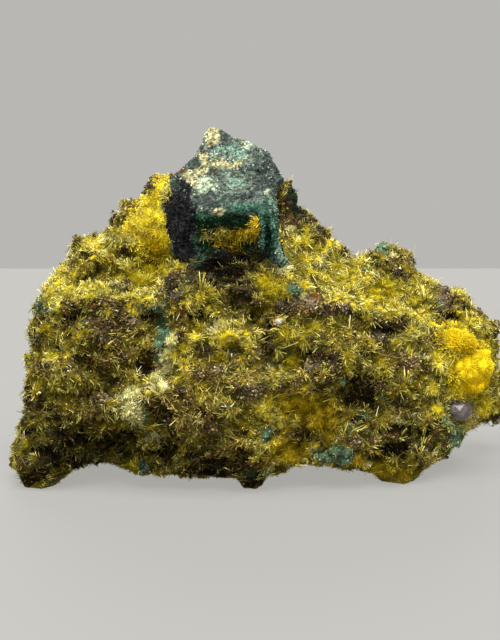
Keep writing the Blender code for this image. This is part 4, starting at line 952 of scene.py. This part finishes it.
def rock_crumbs(rock):
    draw = np.random.default_rng(3)
    growth = grown(rock, count=56000, lowest=0.5, draw=draw)
    likely = (0.24 + 0.50 * rise(growth[3], -0.6, 0.8)) * GRAINS[growth[2]]
    where, normals, kinds, crest = picked(growth, draw.random(len(likely)) < likely)
    count = len(kinds)
    sizes = 0.12 + 0.34 * draw.random(count) ** 1.8
    # The grains carry shade_by's painted light and shade.
    value = (np.exp(0.45 * draw.normal(size=count)) * shade_by(where, normals, crest))[:, None]
    share = draw.random((count, 1)) ** 1.6
    colours = (1.0 - share) * (0.4 * GROUND[kinds] + 0.5 * FOOT[kinds]) + share * TIP[kinds]
    foreign = (draw.random((count, 1)) < 0.15) & (GRAINS[kinds] > 0.1)[:, None]
    colours = np.where(foreign, np.array(FOREIGN), colours) * value
    height = draw.uniform(0.0, 0.22, (count, 1))
    crumbs("crust_grains", "dark_ore", where + height * normals, normals, sizes, colours, draw)


def crust_lumps(name, obj, heaps, height, seed):
    """Little heaps of dark crust that stand on the growth of the front."""
    draw = np.random.default_rng(seed)
    where, facing = spread(obj.data, HEAP_PLACES, draw, lambda _, out: facing_view(out, -0.2, 0.1) + 0.01)
    across, up = seen(where)
    parts = []
    for x, z, reach in heaps:
        far = np.hypot(across - x, up - z) / reach
        some = np.flatnonzero((far < draw.uniform(0.4, 1.0, len(where))) & (facing @ VIEW < 0.1))
        some = draw.permutation(some)[:int(HEAP_GRAINS * reach ** 1.5)]
        count, roots, out = len(some), where[some], facing[some]
        above = height * draw.uniform(0.0, 1.0, count) * (1.0 - 0.7 * far[some] ** 2)
        sizes = draw.uniform(0.18, 0.48, count)
        share = np.clip(draw.random() + 0.3 * draw.normal(size=count), 0.0, 1.0)[:, None]
        colours = (1.0 - share) * np.array(HEAP_BROWN) + share * np.array(HEAP_GREY)
        # About one grain in twelve is a pale fleck, partly a painted sparkle.
        colours = np.where(draw.random((count, 1)) < 0.08, np.array(HEAP_FLECK), colours)
        # The heaps take the same painted light and shade as the growth.
        shade = shade_by(roots, out, np.zeros(count))
        colours = colours * (1.1 * shade * np.exp(0.55 * draw.normal(size=count)))[:, None]
        parts.append((roots + above[:, None] * out, out, sizes, colours))
    crumbs(name, "dark_ore", *joined(parts), draw)


def knob_block():
    """The malachite knob: its granular block, and loose grit on it."""
    obj, points, normals = fine_copy("malachite_block", KNOB, voxel=0.21, smoothing=1)
    grains, tone, _ = lumps(points, 0.62, 21)
    push = -0.14 + 0.13 * fractal(points, 1.8, 23, 3) + 0.16 * grains * (0.3 + tone)
    across, up = seen(points)
    front = facing_view(normals, 0.1, 0.6)
    for *area, out in KNOB_FRONT:
        push += front * out * within(across, up, *area)
    points, normals = push_out(obj, points, normals, push)
    draw = np.random.default_rng(4)
    kinds = knob_kinds(points, normals, draw)
    speck = lumps(points, 0.30, 27)[1]
    value = (0.25 + 1.5 * speck ** 1.5) * (0.75 + 0.35 * grains)
    value = np.where(kinds == KNOB_NAMES.index("black"), 0.25 + 3.4 * speck ** 4, value)
    set_tint(obj.data, KNOB_TINTS[kinds] * value[:, None])
    finish_piece(obj, "knob", KNOB)

    where, facing = spread(obj.data, GRIT_GRAINS, draw)
    kinds = knob_kinds(where, facing, draw)
    value = np.exp(0.75 * draw.normal(size=len(kinds)))[:, None]
    sizes = draw.uniform(0.12, 0.34, len(kinds))
    colours = KNOB_TINTS[kinds] * value * 1.2 + 0.01
    crumbs("malachite_grit", "malachite", where + 0.03 * facing, facing, sizes, colours, draw)
    knob_tufts(obj, draw)


def knob_tufts(block, draw):
    """Tufts of needles in the knob's recess and round its foot."""
    where, facing = spread(block.data, TUFT_PLACES, draw)
    across, up = seen(where)
    patchy = 1.0 + 1.3 * (0.35 * waves(where, 0.9, 151) + 0.40 * waves(where, 0.4, 152))
    parts = []
    for name, *area, most in KNOB_TUFTS:
        dense = within(across, up, *area) * patchy > 0.40 + 0.3 * draw.random(len(where))
        some = draw.permutation(np.flatnonzero(dense & (facing @ VIEW < 0.15)))[:most]
        spots, out = where[some], facing[some]
        owner = np.repeat(np.arange(len(some)), TUFT_NEEDLES)
        main = unit(out + 0.8 * draw.normal(size=out.shape) + np.array((0.0, 0.0, 0.15)))
        ways = unit(main[owner] + 0.4 * draw.normal(size=(len(owner), 3)))
        lengths = draw.uniform(0.4, 1.2, len(owner))
        widths = draw.uniform(0.06, 0.11, len(owner))
        value = np.exp(0.55 * draw.normal(size=(len(owner), 1)))
        value = value * np.exp(0.45 * draw.normal(size=(len(some), 1)))[owner]
        # The tufts carry shade_by's painted light and shade.
        value = value * shade_by(spots, out, np.zeros(len(some)))[owner, None]
        colours = AMBER if name == "amber" else COLOURS[name][1:]
        foot, tip = (np.array(colour) * value for colour in colours)
        roots = spots[owner] - 0.05 * out[owner] + 0.1 * draw.normal(size=(len(owner), 3))
        parts.append((roots, ways, lengths, widths, foot, tip))
    needles("knob_tufts", "lath", joined(parts), draw)


def cushion(name, solid, colours, fibres, longest, seed):
    """A velvety yellow mass: a lumpy body with soft fibres, with painted shade low down and in folds, and
    painted light at its top.
    """
    body, tip, deep = (np.array(colour) for colour in colours)
    obj, points, normals = fine_copy(name, solid, voxel=0.20, smoothing=3)
    low, high = points[:, 2].min(), points[:, 2].max()

    # From 0 low down, in painted shade, to 1 at the top, in painted light.
    def fresh(spots):
        height = rise(spots[:, 2], low, 0.3 * low + 0.7 * high)
        share = height * (0.55 + 0.45 * lumps(spots, 1.5, seed)[0]) + 0.25 * waves(spots, 1.3, seed + 11)
        return np.clip(share, 0.0, 1.0)[:, None]

    folds, tone, _ = lumps(points, 1.5, seed)
    push = -0.28 + 0.20 * fractal(points, 1.8, seed + 5, 3) + 0.28 * folds * (0.6 + 0.6 * tone)
    # Painted shade in the folds between the lumps.
    shade = (0.70 + 0.30 * folds + 0.10 * waves(points, 0.8, seed + 7))[:, None]
    set_tint(obj.data, (deep + (body - deep) * fresh(points)) * shade)
    push_out(obj, points, normals, push)
    finish_piece(obj, "velvet", solid)
    draw = np.random.default_rng(seed)
    where, facing = spread(obj.data, fibres, draw)
    ways = unit(facing + 0.45 * draw.normal(size=facing.shape))
    lengths, widths = longest * draw.uniform(0.3, 1.0, fibres), draw.uniform(0.07, 0.12, fibres)
    share = fresh(where)
    value = np.exp(0.12 * draw.normal(size=fibres)) * (0.90 + 0.20 * waves(where, 1.2, seed + 9))
    value = value[:, None]
    # Fibres take the same painted shade low down and painted light at the top.
    foot = (deep + (body - deep) * share) * value
    end = (1.25 * deep + (tip - 1.25 * deep) * share) * value
    needles(name + "_fibres", "hair", (where - 0.03 * facing, ways, lengths, widths, foot, end), draw)
    return obj


def nub():
    """The smooth nub: grey-purple, greenish at its left."""
    obj, points, normals = fine_copy("smooth_nub", NUB, voxel=0.14, smoothing=4)
    dents, tone, _ = lumps(points, 0.9, 75, 0.5)
    push_out(obj, points, normals, -0.10 + 0.10 * fractal(points, 1.8, 71, 2) + 0.05 * dents)
    share = rise(0.7 * waves(points, 0.9, 77) - 0.9 * normals[:, 0], 0.1, 0.9)[:, None]
    tint = (1.0 - share) * NUB_PURPLE + share * NUB_GREEN
    value = (0.55 + 0.35 * dents + 0.55 * tone) * (1.0 + 0.3 * waves(points, 0.4, 79))
    set_tint(obj.data, tint * value[:, None])
    finish_piece(obj, "nub", NUB)


def first_met(tree, across, up):
    """Where the photo's line of sight through a place first meets the ground, and the normal there."""
    middle = np.array((-OUTLINE_SHIFT[0], FRONT_FOOT_Y - OUTLINE_SHIFT[1], 0.0))
    start = middle + RIGHT * across + UPWARD * up - VIEW * 100.0
    hit, normal, _, _ = tree.ray_cast(Vector(start * MM), Vector(VIEW))
    return np.array(hit) / MM, np.array(normal)


def loose_bits(ground):
    """A clear grain of quartz, and long pale needles that lie loose on the growth."""
    tree = BVHTree.FromObject(ground, bpy.context.evaluated_depsgraph_get())
    draw = np.random.default_rng(6)
    hit, normal = first_met(tree, *QUARTZ_GRAIN)
    bm = bmesh.new()
    bmesh.ops.create_icosphere(bm, subdivisions=1, radius=1.0)
    ball = np.array([corner.co for corner in bm.verts])
    faces = [corner.index for face in bm.faces for corner in face.verts]
    bm.free()
    ball = ball * QUARTZ_REACH * draw.uniform(0.72, 1.12, (len(ball), 1))
    colours = QUARTZ * draw.uniform(0.5, 1.3, (len(ball), 1))
    grain = mesh_from("quartz_grain", (hit + 0.30 * normal + ball)[None], faces, 3, colours)
    finish_piece(grain, "nub")

    roots, ways = [], []
    for across, up, right, upward, length in LOOSE_NEEDLES:
        roots.append(first_met(tree, across, up)[0] - 0.55 * VIEW)
        ways.append((RIGHT * right + UPWARD * upward) * length)
    ways = np.array(ways)
    lengths, widths = np.linalg.norm(ways, axis=1), np.full(len(roots), 0.14)
    foot, tip = (np.tile(colour, (len(roots), 1)) for colour in STRAW)
    needles("loose_needles", "prism", (np.array(roots), unit(ways), lengths, widths, foot, tip), draw)


def stage_piece(name, bm, look, base, gloss, roughness, glow):
    """Part of the surroundings, which gives off an even light of its own."""
    mesh = bpy.data.meshes.new(name)
    bm.to_mesh(mesh)
    bm.free()
    mesh.materials.append(new_material(look, {
        "Base Color": (*base, 1.0), "Specular IOR Level": gloss, "Roughness": roughness,
        "Emission Color": (*glow, 1.0), "Emission Strength": 1.0})[0])
    obj = placed(name, mesh)
    return obj


def floor_and_backdrop():
    bm = bmesh.new()
    corners = [(-0.7, -0.9), (0.7, -0.9), (0.7, TABLE_END), (-0.7, TABLE_END)]
    bm.faces.new([bm.verts.new((x, y, 0.0)) for x, y in corners])
    stage_piece("table_top", bm, "pale table", base=(0.075, 0.074, 0.070), gloss=0.2, roughness=0.7,
                glow=(0.385, 0.377, 0.350))
    bm = bmesh.new()
    bmesh.ops.create_icosphere(bm, subdivisions=5, radius=2.1)
    dome = stage_piece("backdrop", bm, "grey backdrop", base=(0.0, 0.0, 0.0), gloss=0.0, roughness=0.5,
                       glow=(0.480, 0.475, 0.453))
    dome.visible_diffuse = dome.visible_glossy = dome.visible_transmission = dome.visible_shadow = False


def lights():
    for name, (place, size, energy) in LAMPS.items():
        lamp = bpy.data.lights.new(name, "AREA")
        lamp.shape = "RECTANGLE"
        lamp.size, lamp.size_y = size
        lamp.energy = energy
        obj = placed(name, lamp)
        obj.location = place
        obj.rotation_euler = (LIT_PLACE - Vector(place)).to_track_quat("-Z", "Y").to_euler()
    world = bpy.data.worlds.new("studio")
    world.use_nodes = True
    background = world.node_tree.nodes["Background"]
    background.inputs["Color"].default_value = (1.0, 1.0, 1.0, 1.0)
    background.inputs["Strength"].default_value = 0.22
    bpy.context.scene.world = world


def camera():
    data = bpy.data.cameras.new("camera")
    data.sensor_fit = "VERTICAL"
    data.sensor_height = data.sensor_width = 36.0
    data.lens = 36.0 * CAMERA_DISTANCE / PICTURE_HEIGHT
    data.clip_start, data.clip_end = 0.1, 10.0
    obj = placed("camera", data)
    depth = FRONT_FOOT_Y - OUTLINE_SHIFT[1]
    middle = Vector((-OUTLINE_SHIFT[0] * MM, depth * MM, PICTURE_MIDDLE * MM / math.cos(LOOK_DOWN)))
    view = Vector(VIEW)
    obj.location = middle - view * CAMERA_DISTANCE
    obj.rotation_euler = view.to_track_quat("-Z", "Y").to_euler()
    bpy.context.scene.camera = obj
    bpy.context.scene.view_settings.view_transform = "Standard"


rock = rock_ground()
rock_needles(rock)
rock_fringes(rock[0])
rock_crumbs(rock)
crust_lumps("crust_heaps", rock[0], ROCK_HEAPS, height=0.62, seed=5)
knob_block()
left = cushion("yellow_cushion_left", LEFT, LEMON, fibres=16000, longest=0.55, seed=201)
crust_lumps("crust_on_cushion", left, CUSHION_HEAPS, height=0.75, seed=8)
cushion("yellow_ball_right", BALL, GOLDEN, fibres=12000, longest=0.32, seed=211)
cushion("yellow_lobe_small", LOBE, GOLDEN, fibres=7000, longest=0.70, seed=221)
nub()
loose_bits(rock[0])
floor_and_backdrop()
lights()
camera()
